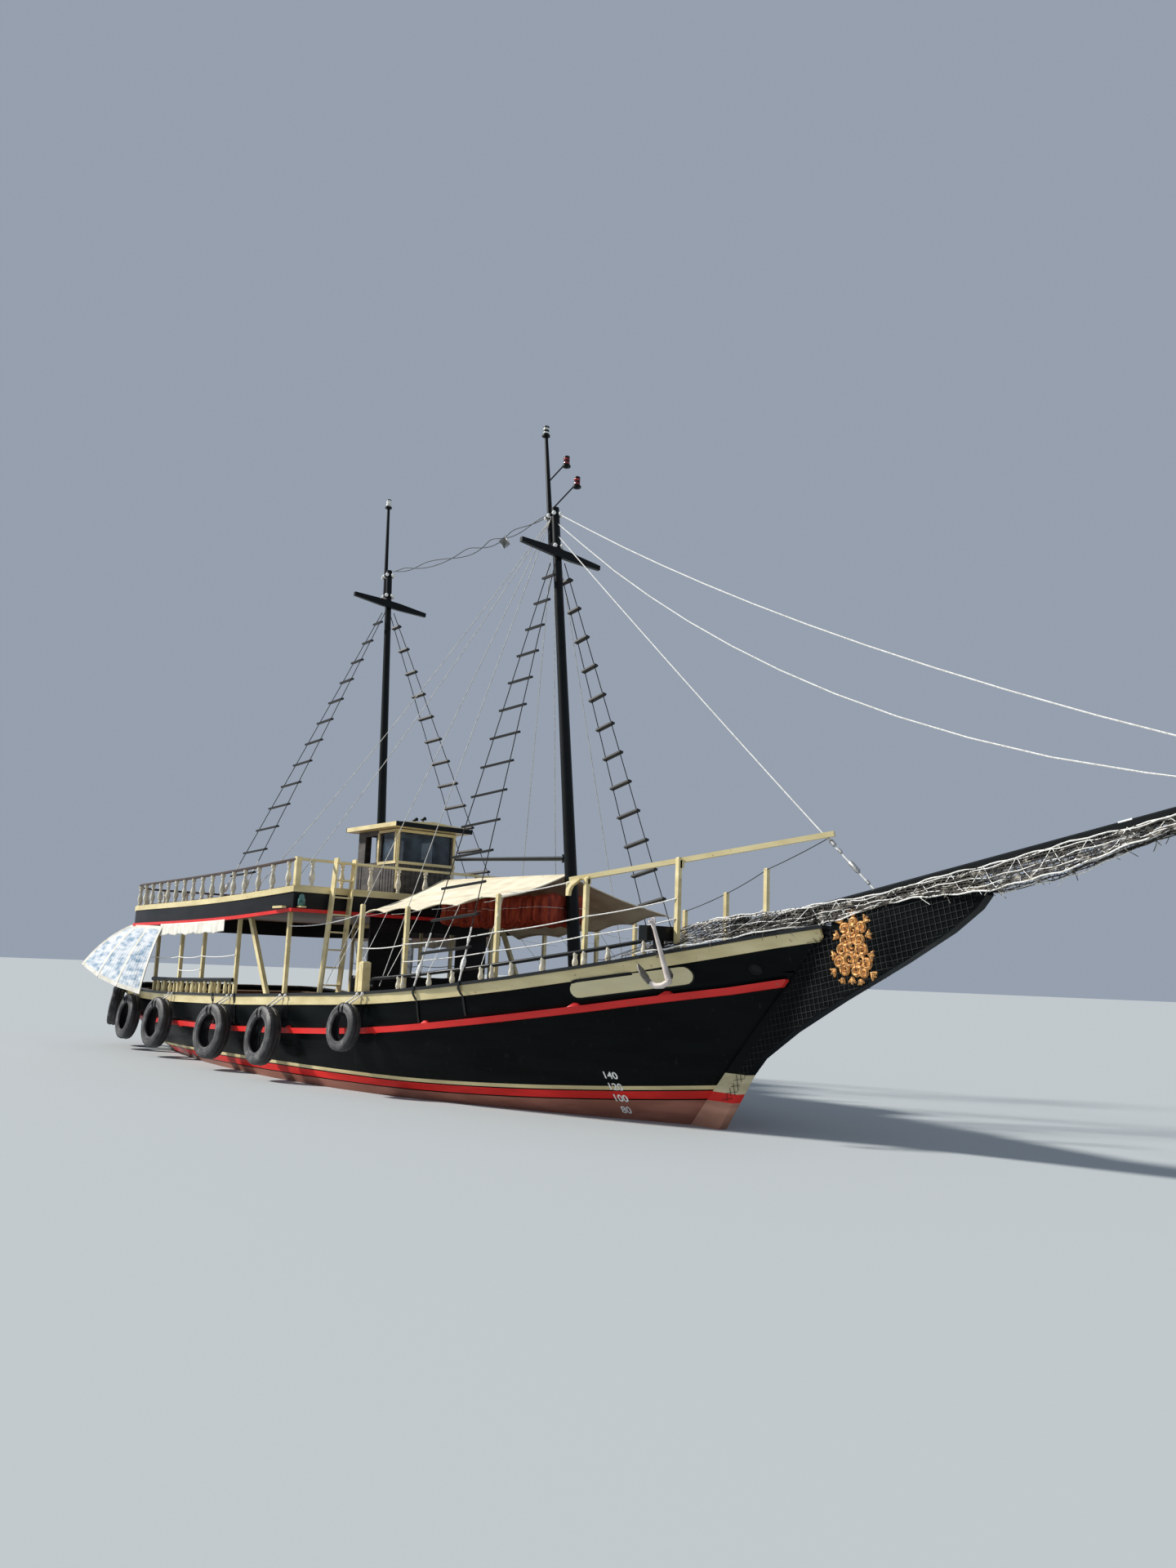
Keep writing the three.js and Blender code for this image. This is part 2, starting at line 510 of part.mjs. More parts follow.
const railRing = upperPlan(-UPPER_RAIL.inset).subtract(upperPlan(-UPPER_RAIL.inset - UPPER_RAIL.width)).intersect(
  slab(upperStations, (x) => edgeZ(x) + UPPER_RAIL.height - UPPER_RAIL.depth, (x) => edgeZ(x) + UPPER_RAIL.height));
const balusterPoints = spaced(upperOutline(UPPER_RAIL.inset + UPPER_RAIL.width / 2), UPPER_RAIL.balusterStep);
const CORNER_POST = { x: -325, size: 110 };
const upperPlateClear = slab(upperStations, (x) => edgeZ(x) - UPPER_PLATE.under, (x) => upperTop(x) + GAP)
  .add(upperPlan(60).subtract(upperPlan(-1)).intersect(slab(upperStations, () => 3000, (x) => edgeZ(x) + GAP)));
for (const [side, sign, half] of SIDES) {
  const size = UPPER_RAIL.baluster;
  const balusters = balusterPoints.map(([x, y]) => box(x - size / 2, x + size / 2,
    sign * y - size / 2, sign * y + size / 2, upperTop(x) - 20, edgeZ(x) + UPPER_RAIL.height - UPPER_RAIL.depth / 2));
  const cornerY = sign * (upperHalf(CORNER_POST.x) - UPPER_RAIL.inset - CORNER_POST.size / 2);
  const cornerPost = box(CORNER_POST.x - CORNER_POST.size, CORNER_POST.x, cornerY - CORNER_POST.size / 2,
    cornerY + CORNER_POST.size / 2, upperTop(CORNER_POST.x) - 20, edgeZ(CORNER_POST.x) + UPPER_RAIL.height);
  place('fascia_' + side, 'board_black', fasciaRing.intersect(half));
  place('upper_rail_' + side, 'trim_cream',
    join([railRing, ...balusters, cornerPost]).subtract(upperPlateClear).intersect(half));
}

// Posts from the cap rail to the upper deck, with the carlin over them, a slanted brace and the stern hand rail
const DECK_POSTS = [-11440, -9430, -7325, -5620, -3450, -770];
const BRACE = { foot: -1650, head: -3050, width: 160 };
const POST = { x: 90, y: 90, inset: 75 };
const CARLIN = { depth: 120, width: 90 };
const STERN_RAIL = { fore: -3450, height: 360, rail: 55, balusterStep: 330, baluster: 50 };
const plateUnder = (x) => edgeZ(x) - UPPER_PLATE.under;
for (const [side, sign] of SIDES) {
  const postY = (x) => sign * (sheerHalf(x) - POST.inset);
  const parts = DECK_POSTS.map((x) => timber([x, postY(x), sheerZ(x) - 30], [x, postY(x), plateUnder(x) + 30],
    POST.x, POST.y));
  DECK_POSTS.slice(1).forEach((x, i) => {
    const from = DECK_POSTS[i];
    parts.push(beam([from, postY(from), plateUnder(from) - CARLIN.depth / 2 - 12],
      [x, postY(x), plateUnder(x) - CARLIN.depth / 2 - 12], CARLIN.width, CARLIN.depth));
  });
  parts.push(timber([BRACE.foot, postY(BRACE.foot), sheerZ(BRACE.foot) - 30],
    [BRACE.head, postY(BRACE.head), plateUnder(BRACE.head) - 60], BRACE.width, POST.y));
  for (let i = 1; i < DECK_POSTS.length - 1; i++) {
    const [from, to] = [DECK_POSTS[i], DECK_POSTS[i + 1]];
    if (to > STERN_RAIL.fore) continue;
    const railZ = (x) => sheerZ(x) + STERN_RAIL.height - STERN_RAIL.rail / 2;
    parts.push(beam([from, postY(from), railZ(from)], [to, postY(to), railZ(to)], STERN_RAIL.rail, STERN_RAIL.rail));
    const count = Math.round((to - from) / STERN_RAIL.balusterStep);
    for (let k = 1; k < count; k++) {
      const t = k / count;
      const [x, y] = [lerp(from, to, t), lerp(postY(from), postY(to), t)];
      parts.push(timber([x, y, sheerZ(x) - 30], [x, y, lerp(railZ(from), railZ(to), t)],
        STERN_RAIL.baluster, STERN_RAIL.baluster));
    }
  }
  const railTop = slab(hullStations, () => 0, (x) => sheerZ(x) + GAP);
  const plateClear = slab(upperStations, plateUnder, () => 6000);
  place('deck_posts_' + side, 'trim_cream', join(parts).subtract(railTop).subtract(plateClear));
}

// Hand rail on the fore part of the cap rail, on short posts at these places along the boat
const HAND_RAIL = { height: 290, rail: 60, inset: 135, post: 50 };
const HAND_POSTS = [2980, 3750, 4660, 5260, 5950, 6640, 7260, 7900, 8520, 9170];
for (const [side, sign] of SIDES) {
  const points = HAND_POSTS.map((x) => [x, sign * (sheerHalf(x) - HAND_RAIL.inset), sheerZ(x)]);
  const parts = points.map(([x, y, z]) => timber([x, y, z - 30], [x, y, z + HAND_RAIL.height - 20],
    HAND_RAIL.post, HAND_RAIL.post));
  points.slice(1).forEach(([x, y, z], i) => {
    const [px, py, pz] = points[i];
    const rise = HAND_RAIL.height - HAND_RAIL.rail / 2;
    parts.push(beam([px, py, pz + rise], [x, y, z + rise], HAND_RAIL.rail, HAND_RAIL.rail));
  });
  place('hand_rail_' + side, 'spar_black', join(parts).subtract(slab(hullStations, () => 0, (x) => sheerZ(x) + GAP)));
}

// Stanchions inside the bulwark: x, distance from the centreline, head; the last one carries a long beam
const STANCHIONS = [
  [1960, 3310, 3970],
  [3600, 3145, 3900],
  [5980, 2520, 4140],
  [7890, 1860, 4430],
  [9640, 1160, 4790],
];
const STANCHION = 85;
const LIFE_LINE = { rise: 560, size: 30 };
const AWNING_BEAM = { from: [7500, -1950, 4400], apex: [12230, 0, 5160], size: 90 };
const capClear = hullPlan(CAP.outboard + 20).subtract(hullPlan(-CAP.inboard - SKIN_GAP)).intersect(
  slab(hullStations, (x) => sheerZ(x) - CAP.depth - GAP, (x) => sheerZ(x) + GAP));
const bulwarkClear = join([
  hullPlan(200).intersect(slab(hullStations, () => -2000, sheerZ)).subtract(envelope(-BULWARK_PLANK - SKIN_GAP)),
  slab(hullStations, () => 0, (x) => deckTop(x) + GAP), capClear,
]);
for (const [side, sign] of SIDES) {
  const parts = STANCHIONS.map(([x, y, head]) => timber([x, sign * y, deckTop(x) - 40], [x, sign * y, head],
    STANCHION, STANCHION));
  STANCHIONS.slice(1).forEach(([x, y], i) => {
    const [px, py] = STANCHIONS[i];
    const z = (at) => sheerZ(at) + LIFE_LINE.rise;
    parts.push(beam([px, sign * py, z(px)], [x, sign * y, z(x)], LIFE_LINE.size, LIFE_LINE.size));
  });
  if (sign < 0) {
    const { from, apex, size } = AWNING_BEAM;
    parts.push(beam(from, apex, size, size));
    for (const [px, py] of STANCHIONS.slice(3)) {
      const t = (px - from[0]) / (apex[0] - from[0]);
      const z = lerp(from[2], apex[2], t) - size;
      parts.push(beam([px, -py, z], [px, lerp(from[1], apex[1], t), z + size / 2], STANCHION, 2 * size));
    }
  }
  place('stanchions_' + side, 'trim_cream', join(parts).subtract(bulwarkClear));
}

// Ladder from the main deck up past the front edge of the upper deck: two planks as stiles, joined by treads
const LADDER = {
  x: -155, footY: -2950, headY: -2700, half: 235, depth: 190, stile: 45, top: 5120,
  treads: 9, firstTread: 380, step: 406, board: 35,
};
const ladderFoot = deckTop(LADDER.x);
const ladderY = (z) => lerp(LADDER.footY, LADDER.headY, (z - ladderFoot) / (LADDER.top - ladderFoot));
const ladderParts = [-LADDER.half, LADDER.half].map((out) => timber([LADDER.x, LADDER.footY + out, ladderFoot - 60],
  [LADDER.x, LADDER.headY + out, LADDER.top], LADDER.depth, LADDER.stile));
for (let i = 0; i < LADDER.treads; i++) {
  const z = ladderFoot + LADDER.firstTread + i * LADDER.step;
  ladderParts.push(box(LADDER.x - LADDER.depth / 2, LADDER.x + LADDER.depth / 2, ladderY(z) - LADDER.half,
    ladderY(z) + LADDER.half, z, z + LADDER.board));
}
place('ladder', 'trim_cream', join(ladderParts).subtract(slab(hullStations, () => 0, (x) => deckTop(x) + GAP))
  .subtract(upperPlan(EDGE_RUB.proud + SKIN_GAP)));

// Masts with their topmasts lashed behind them
const at = (mast, z) => lerp(mast.foot[0], mast.head[0], (z - mast.foot[1]) / (mast.head[1] - mast.foot[1]));
const radiusAt = (mast, z) => lerp(mast.footR, mast.headR, (z - mast.foot[1]) / (mast.head[1] - mast.foot[1]));
const pole = (mast, extra) => rod([mast.foot[0], 0, mast.foot[1]], [mast.head[0], 0, mast.head[1]],
  mast.footR + extra, mast.headR + extra, 16);
function topmast(mast, top, lampR) {
  const collar = (z) => box(at(top, z) - 40, at(mast, z), -45, 45, z - 45, z + 45);
  const head = [top.head[0], 0, top.head[1]];
  const lamp = [head[0], 0, head[2] + 190];
  return join([pole(top, 0), collar(top.foot[1] + 120), collar(mast.head[1] - 150), rod(head, lamp, lampR, lampR, 10)]);
}
const mainPole = pole(MAIN_MAST, 0).subtract(slab(hullStations, () => 0, (x) => deckTop(x) + GAP));
const lampArm = (z, out) => join([
  rod([at(MAIN_TOPMAST, z), 0, z], [at(MAIN_TOPMAST, z) + out, out * 0.12, z + out * 0.55], 18, 18, 6),
  rod([at(MAIN_TOPMAST, z) + out, out * 0.12, z + out * 0.55 - 60],
    [at(MAIN_TOPMAST, z) + out, out * 0.12, z + out * 0.55 + 130], 70, 70, 8),
]);
const mainMastParts = [mainPole, topmast(MAIN_MAST, MAIN_TOPMAST, 70), lampArm(14200, 600), lampArm(13420, 880)];
const upperDeckClear = slab(upperStations, () => 3000, (x) => upperTop(x) + GAP);
const aftMast = join([pole(AFT_MAST, 0).subtract(upperDeckClear), topmast(AFT_MAST, AFT_TOPMAST, 60)]);
place('aft_mast', 'spar_black', aftMast);

// Yards: flat boards bolted across the fore side of each mast
for (const [name, mast, yard] of [['main_yard', MAIN_MAST, MAIN_YARD], ['aft_yard', AFT_MAST, AFT_YARD]]) {
  const x = at(mast, yard.z) + radiusAt(mast, yard.z) + SKIN_GAP;
  const face = [-1, -YARD.broad, YARD.broad, 1].map((share) => [
    share * yard.half, (Math.abs(share) === 1 ? YARD.tipDepth : YARD.depth) / 2]);
  const outline = [...face.map(([y, z]) => new THREE.Vector2(y, yard.z - z)),
    ...face.reverse().map(([y, z]) => new THREE.Vector2(y, yard.z + z))];
  const board = new THREE.ExtrudeGeometry(new THREE.Shape(outline), { depth: YARD.thick, bevelEnabled: false });
  board.applyMatrix4(new THREE.Matrix4().set(0, 0, 1, x, 1, 0, 0, 0, 0, 1, 0, 0, 0, 0, 0, 1));
  board.translate(0, 0, -yard.z);
  board.rotateX(-THREE.MathUtils.degToRad(YARD.cantDeg));
  board.translate(0, 0, yard.z);
  place(name, 'spar_black', solid(board).subtract(pole(mast, SKIN_GAP)));
}

// Boom, hinged on the aft side of the main mast
const boomRoot = at(MAIN_MAST, BOOM.z) - radiusAt(MAIN_MAST, BOOM.z);
const boomPinX = boomRoot - BOOM.pinBack;
const boomSpar = rod([boomPinX, 0, BOOM.z], [boomRoot - BOOM.reach, 0, BOOM.z + BOOM.rise], BOOM.radius,
  BOOM.radius * 0.8, 10);
const boomPin = rod([boomPinX, 0, BOOM.z - BOOM.jaw], [boomPinX, 0, BOOM.z + BOOM.jaw], BOOM.pinR, BOOM.pinR, 16);
place('boom', 'spar_black', boomSpar.add(boomPin));
const GOOSENECK = { half: 30, thick: 28, reach: 125, root: 60, back: 30, gap: 0.5 };
const jawUnder = BOOM.jaw + GOOSENECK.gap;
const jawOver = jawUnder + GOOSENECK.thick;
const gooseneck = join([[-jawOver, -jawUnder], [jawUnder, jawOver]].map(([low, high]) => box(
  boomRoot - GOOSENECK.reach, boomRoot + GOOSENECK.root, -GOOSENECK.half, GOOSENECK.half, BOOM.z + low, BOOM.z + high))
  .concat(box(boomRoot - GOOSENECK.back, boomRoot + GOOSENECK.root, -GOOSENECK.half, GOOSENECK.half,
    BOOM.z - jawOver, BOOM.z + jawOver)));
place('main_mast', 'spar_black', join([...mainMastParts, gooseneck]));

// Ratline ladders, each two ropes joined by wooden rungs in one flat lattice:
// mast, feet of the two ropes as x, what they stand on, how far outside it, head height, windows between rungs
const RATLINES = [
  ['main', MAIN_MAST, [4390, 5580], sheerZ, (x) => sheerHalf(x) + 38, 12050, 13],
  ['aft', AFT_MAST, [-4460, -3150], upperTop, (x) => upperHalf(x) - 130, 12600, 13],
];
const RATLINE = { rope: 28, rung: 42, headSpread: 220, headInset: 75, firstRung: 0.05, lastRung: 0.96 };
function lattice(footA, footB, head, windows) {
  const [a, b, top] = [footA, footB, head].map((p) => new THREE.Vector3(...p));
  const spread = a.distanceTo(b);
  const foot = a.clone().add(b).multiplyScalar(0.5);
  const across = b.clone().sub(a).normalize();
  const up = top.clone().sub(foot);
  const height = up.length();
  up.normalize();
  const normal = across.clone().cross(up).normalize();
  const half = RATLINE.rope / 2;
  const rows = [0];
  for (let i = 0; i <= windows; i++) {
    const middle = lerp(RATLINE.firstRung, RATLINE.lastRung, i / windows);
    rows.push(middle - RATLINE.rung / 2 / height, middle + RATLINE.rung / 2 / height);
  }
  rows.push(1);
  const points = [];
  for (const v of rows) {
    const w = lerp(spread, RATLINE.headSpread, v) / 2;
    for (const x of [-w - half, -w + half, w - half, w + half]) {
      for (const z of [-half, half]) points.push([x, v * height, z]);
    }
  }
  const index = [];
  const id = (row, column, face) => row * 8 + column * 2 + face;
  const quad = (p, q, r, t) => index.push(p, q, r, p, r, t);
  const filled = (row, column) => row >= 0 && row < rows.length - 1 && column >= 0 && column < 3
    && (column !== 1 || row % 2 === 1);
  for (let row = 0; row < rows.length - 1; row++) {
    for (let column = 0; column < 3; column++) {
      if (!filled(row, column)) continue;
      const [r1, c1] = [row + 1, column + 1];
      quad(id(row, column, 1), id(row, c1, 1), id(r1, c1, 1), id(r1, column, 1));
      quad(id(row, column, 0), id(r1, column, 0), id(r1, c1, 0), id(row, c1, 0));
      if (!filled(row - 1, column)) quad(id(row, column, 0), id(row, c1, 0), id(row, c1, 1), id(row, column, 1));
      if (!filled(r1, column)) quad(id(r1, column, 0), id(r1, column, 1), id(r1, c1, 1), id(r1, c1, 0));
      if (!filled(row, column - 1)) quad(id(row, column, 0), id(row, column, 1), id(r1, column, 1), id(r1, column, 0));
      if (!filled(row, c1)) quad(id(row, c1, 0), id(r1, c1, 0), id(r1, c1, 1), id(row, c1, 1));
    }
  }
  const geometry = new THREE.BufferGeometry();
  geometry.setAttribute('position', new THREE.Float32BufferAttribute(points.flat(), 3));
  geometry.setIndex(index);
  geometry.applyMatrix4(new THREE.Matrix4().makeBasis(across, up, normal).setPosition(foot));
  return solid(geometry);
}
for (const [name, mast, footXs, ground, reach, headZ, windows] of RATLINES) {
  for (const [side, sign] of SIDES) {
    const [footA, footB] = footXs.map((x) => [x, sign * reach(x), ground(x) - 25]);
    const head = [at(mast, headZ), sign * RATLINE.headInset, headZ];
    const floor = name === 'main' ? slab(hullStations, () => 0, (x) => sheerZ(x) + GAP) : upperDeckClear;
    place('ratlines_' + name + '_' + side, 'rope_dark',
      lattice(footA, footB, head, windows).subtract(pole(mast, SKIN_GAP)).subtract(floor));
  }
}

// Stays: points along each sagging wire from the masthead forward
function cable(points, r, sides = 6) {
  const curve = new THREE.CatmullRomCurve3(points.map((p) => new THREE.Vector3(...p)));
  const shape = new THREE.Shape(Array.from({ length: sides }, (_, i) => new THREE.Vector2(
    r * Math.cos((2 * Math.PI * i) / sides), r * Math.sin((2 * Math.PI * i) / sides))));
  return solid(new THREE.ExtrudeGeometry(shape, { extrudePath: curve, steps: points.length + 5, bevelEnabled: false }));
}
const STAY_R = 12;
const sagging = (from, to, sag, count) => Array.from({ length: count + 1 }, (_, i) => {
  const t = i / count;
  return from.map((v, k) => lerp(v, to[k], t) - (k === 2 ? 4 * sag * t * (1 - t) : 0));
});
const mastClear = pole(MAIN_MAST, SKIN_GAP);
const STAYS = [
  ['forestay_inner', [at(MAIN_MAST, 12800), 0, 12800], [13075, 0, spritTop(13075) - 20], 60],
  ['forestay_middle', [at(MAIN_MAST, 13100), 0, 13100], [18950, 0, spritTop(18950) - 20], 1200],
  ['forestay_outer', [at(MAIN_MAST, 13350), 0, 13350], [19650, 0, spritTop(19650) - 20], 500],
];
for (const [name, from, to, sag] of STAYS) {
  const wire = cable(sagging(from, to, sag, 6), STAY_R, 5).subtract(mastClear).subtract(spritTimber(SKIN_GAP));
  place(name, 'rope_white', wire.decompose().sort((a, b) => b.volume() - a.volume())[0]);
}

// Wheelhouse walls with the windows and doorways cut, then roof, glazing and doors
const walls = box(HOUSE.aft, HOUSE.fore, -HOUSE.half, HOUSE.half, 4100, HOUSE.eaves)
  .subtract(box(HOUSE.aft + HOUSE.wall, HOUSE.fore - HOUSE.wall, -HOUSE.half + HOUSE.wall, HOUSE.half - HOUSE.wall,
    4000, 7000));
const SIDE_WINDOW = [-1870, -1170];
const houseCuts = join([
  box(HOUSE.fore - 100, HOUSE.fore + 100, -HOUSE.half + 110, HOUSE.half - 110, HOUSE.sill, HOUSE.head),
  box(HOUSE.aft - 100, HOUSE.aft + 100, -500, 500, HOUSE.sill, HOUSE.head),
  box(SIDE_WINDOW[0], SIDE_WINDOW[1], -2000, 2000, HOUSE.sill, HOUSE.head),
  box(DOOR.aft, DOOR.fore, -2000, 2000, DOOR.foot, DOOR.head),
]);
place('wheelhouse', 'board_black', walls.subtract(houseCuts).subtract(upperDeckClear));
const roofX = [HOUSE_ROOF.aft, HOUSE_ROOF.fore];
place('wheelhouse_roof', 'trim_cream', loft(roofX.map((x) => [
  [x, -HOUSE_ROOF.half, HOUSE.eaves + GAP], [x, HOUSE_ROOF.half, HOUSE.eaves + GAP],
  [x, HOUSE_ROOF.half, HOUSE.eaves + HOUSE_ROOF.edge], [x, 0, HOUSE.eaves + HOUSE_ROOF.rise],
  [x, -HOUSE_ROOF.half, HOUSE.eaves + HOUSE_ROOF.edge],
])));
const GLASS = { pane: 8, low: 5250, high: 6090, aft: -1920 };
const glassOuter = HOUSE.wall + SKIN_GAP;
place('wheelhouse_glass', 'window_glass',
  box(GLASS.aft, HOUSE.fore - glassOuter, -HOUSE.half + glassOuter, HOUSE.half - glassOuter, GLASS.low, GLASS.high)
    .subtract(box(GLASS.aft - 10, HOUSE.fore - glassOuter - GLASS.pane, -HOUSE.half + glassOuter + GLASS.pane,
      HOUSE.half - glassOuter - GLASS.pane, GLASS.low - 10, GLASS.high + 10)));
for (const [side, sign] of SIDES) {
  const outer = sign * HOUSE.half;
  const inner = sign * (HOUSE.half - HOUSE.wall);
  const [y0, y1] = [Math.min(outer, inner), Math.max(outer, inner)];
  const leaf = box(DOOR.aft + DOOR.gap, DOOR.fore - 0.5, y0, y1, DOOR.foot + DOOR.gap, DOOR.head - DOOR.gap);
  const light = box(DOOR.aft + DOOR.frame, DOOR.fore - DOOR.frame, y0 - 10, y1 + 10, HOUSE.sill, DOOR.head - DOOR.frame);
  place('wheelhouse_door_' + side, 'trim_cream', leaf.subtract(light));
}

// Helm: a console on the upper deck and the spoked wheel behind it
const HELM_STAND = { fore: -1490, aft: -1710, half: 260, top: 5430 };
place('helm_stand', 'board_black', box(HELM_STAND.aft, HELM_STAND.fore, -HELM_STAND.half, HELM_STAND.half, 4100,
  HELM_STAND.top).subtract(upperDeckClear));
const rim = new THREE.TorusGeometry(HELM.radius - 60, 20, 5, 20);
rim.rotateY(Math.PI / 2);
rim.translate(HELM.x, 0, HELM.z);
const helmParts = [solid(rim), rod([HELM_STAND.aft - 0.6, 0, HELM.z], [HELM.x - 40, 0, HELM.z], 45, 45, 16)];
for (let i = 0; i < 4; i++) {
  const angle = (Math.PI * i) / 4;
  const [dy, dz] = [HELM.radius * Math.cos(angle), HELM.radius * Math.sin(angle)];
  helmParts.push(rod([HELM.x, -dy, HELM.z - dz], [HELM.x, dy, HELM.z + dz], 14, 14, 4));
}
place('helm_wheel', 'deck_wood', join(helmParts));

// Canopy over the foredeck, cut in a wide V at both ends: starboard eave x, ridge x, ridge height,
// starboard eave height and distance out, port eave x, height and distance out
const CANOPY = [
  [1250, -200, 4812, 3800, 2900, -200, 3500, 2450],
  [2150, 1350, 4795, 3830, 2870, 1500, 3560, 2450],
  [3350, 2650, 4780, 3860, 2740, 3000, 3680, 2450],
  [4600, 3800, 4765, 3955, 2590, 4300, 3850, 2450],
  [5920, 4900, 4750, 4090, 2440, 5540, 4020, 2390],
];
const CANVAS = 14;
const CANOPY_SAG = 60;
const canopyRows = CANOPY.map(([x, ridgeX, ridge, eave, half, portX, portEave, portHalf]) => [
  [x, -half, eave], [(x + ridgeX) / 2, -half / 2, (ridge + eave) / 2 - CANOPY_SAG], [ridgeX, 0, ridge],
  [(ridgeX + portX) / 2, portHalf / 2, (ridge + portEave) / 2 - CANOPY_SAG], [portX, portHalf, portEave],
]);
place('canopy', 'canvas', sheet(canopyRows, [0, 0, -CANVAS]).subtract(mastClear));

// Life jackets strapped up under the ridge of the canopy
const STOW = { aft: 700, fore: 5000, half: 620, under: 3600, over: 4350 };
place('life_jackets', 'vest_orange', box(STOW.aft, STOW.fore, -STOW.half, STOW.half, STOW.under, STOW.over)
  .subtract(pole(MAIN_MAST, SKIN_GAP)));

// Stern curtains, flared out from the upper deck's edge: top edge and bottom edge as x, y, z
const CURTAIN_TOP = [[-8240, 3985, 3500], [-9420, 3925, 3530], [-10625, 3870, 3545], [-11740, 3690, 3550]];
const CURTAIN_BULGE = 190;
const CURTAIN_OUT = 70;
const CURTAIN_FOOT = [[-8890, 4215, 1640], [-10200, 4435, 1790], [-11590, 4570, 2020], [-13090, 4630, 2360]];
const VALANCE = { aft: -8400, fore: -3500, depth: 330, thick: 30 };
for (const [side, sign, half] of SIDES) {
  const curtain = CURTAIN_TOP.map((top, i) => {
    const foot = CURTAIN_FOOT[i];
    return [0, 0.35, 0.7, 1].map((t) => [lerp(top[0], foot[0], t),
      sign * (lerp(top[1], foot[1], t) + CURTAIN_BULGE * t * (1 - t) + CURTAIN_OUT), lerp(top[2], foot[2], t)]);
  });
  const hung = sheet(curtain, [0, -sign * CANVAS, 0]);
  const rolled = upperPlan(EDGE_RUB.proud + VALANCE.thick).subtract(upperPlan(EDGE_RUB.proud + SKIN_GAP))
    .intersect(slab(upperStations, (x) => edgeZ(x) - FASCIA.depth - VALANCE.depth,
      (x) => edgeZ(x) - FASCIA.depth + 40))
    .intersect(box(VALANCE.aft - 60, VALANCE.fore, -5000, 5000, 3000, 4500)).intersect(half);
  place('stern_curtain_' + side, 'clear_vinyl', join([hung, rolled]).subtract(upperPlan(EDGE_RUB.proud + SKIN_GAP)
    .intersect(slab(upperStations, (x) => edgeZ(x) - FASCIA.depth - GAP, () => 6000))));
}

// Tyre fenders: x, height of the centre, outer radius
const TYRES = [
  [-12320, 1180, 605],
  [-10600, 920, 645],
  [-7700, 905, 670],
  [-3600, 920, 670],
  [-780, 990, 665],
  [2420, 1360, 500],
];
const TYRE = { bead: 0.54, width: 0.5, lineR: 16, lineDrop: 30, clear: 20, towardBowDeg: 6.5 };
for (const [side, sign] of SIDES) {
  const parts = [];
  TYRES.forEach(([x, z, r]) => {
    const width = 2 * r * TYRE.width * 0.5;
    const profile = [[TYRE.bead, 0.7], [0.8, 1], [1, 0.6], [1, -0.6], [0.8, -1], [TYRE.bead, -0.7]].map(
      ([pr, pw]) => new THREE.Vector2(pr * r, (pw * width) / 2));
    const ring = new THREE.LatheGeometry([...profile, profile[0]], 12);
    const slope = Math.atan2(hullHalf(x + r, rubZ(x)) - hullHalf(x - r, rubZ(x)), 2 * r)
      - THREE.MathUtils.degToRad(TYRE.towardBowDeg);
    ring.rotateZ(sign * slope);
    const touching = [-0.9, -0.45, 0, 0.45, 0.9].map((share) => {
      const px = x + share * r;
      const band = hullHalf(px, Math.min(z + r * 0.8, sheerZ(px) - CAP.depth)) + SHEER_BAND.proud;
      return Math.max(hullHalf(px, rubZ(px)) + RUB_RAIL.proud, band) - share * r * Math.tan(slope);
    });
    const outboard = Math.max(...touching) + width / 2 + TYRE.clear;
    ring.translate(x, sign * outboard, z);
    parts.push(solid(ring));
    const hang = [x, sign * (sheerHalf(x) + CAP.outboard + TYRE.lineR), sheerZ(x) - TYRE.lineDrop];
    parts.push(rod([x, sign * outboard, z + r * 0.8], hang, TYRE.lineR, TYRE.lineR, 4));
  });
  const [first, last] = [TYRES[0][0], TYRES[TYRES.length - 1][0]];
  const stops = [first, ...hullStations.map((row) => row[0]).filter((x) => x > first && x < last), last];
  const line = (x) => [x, sign * (sheerHalf(x) + CAP.outboard + TYRE.lineR), sheerZ(x) - TYRE.lineDrop];
  stops.slice(1).forEach((x, i) => parts.push(rod(line(stops[i]), line(x), TYRE.lineR, TYRE.lineR, 4)));
  place('tyre_fenders_' + side, 'tyre_rubber', join(parts).subtract(hullPlan(CAP.outboard + SKIN_GAP)
    .intersect(slab(hullStations, () => 500, (x) => sheerZ(x) + 1))
    .subtract(slab(hullStations, () => 400, (x) => sheerZ(x) - CAP.depth - 1))));
}

// Cathead at the starboard bow: a timber over the hand rail, on a block that stands on the cap rail
const CATHEAD = { x: 9440, half: 110, inner: -1130, outer: -1800, under: 3280, over: 3540 };
const CATHEAD_BLOCK = { half: 60, inner: -1340, outer: -1500 };
const catheadZ = sheerZ(CATHEAD.x + CATHEAD_BLOCK.half) + 1;
const cathead = box(CATHEAD.x - CATHEAD.half, CATHEAD.x + CATHEAD.half, CATHEAD.outer, CATHEAD.inner,
  CATHEAD.under, CATHEAD.over);
place('cathead', 'spar_black', cathead.add(box(CATHEAD.x - CATHEAD_BLOCK.half, CATHEAD.x + CATHEAD_BLOCK.half,
  CATHEAD_BLOCK.outer, CATHEAD_BLOCK.inner, catheadZ, CATHEAD.under + 10)));

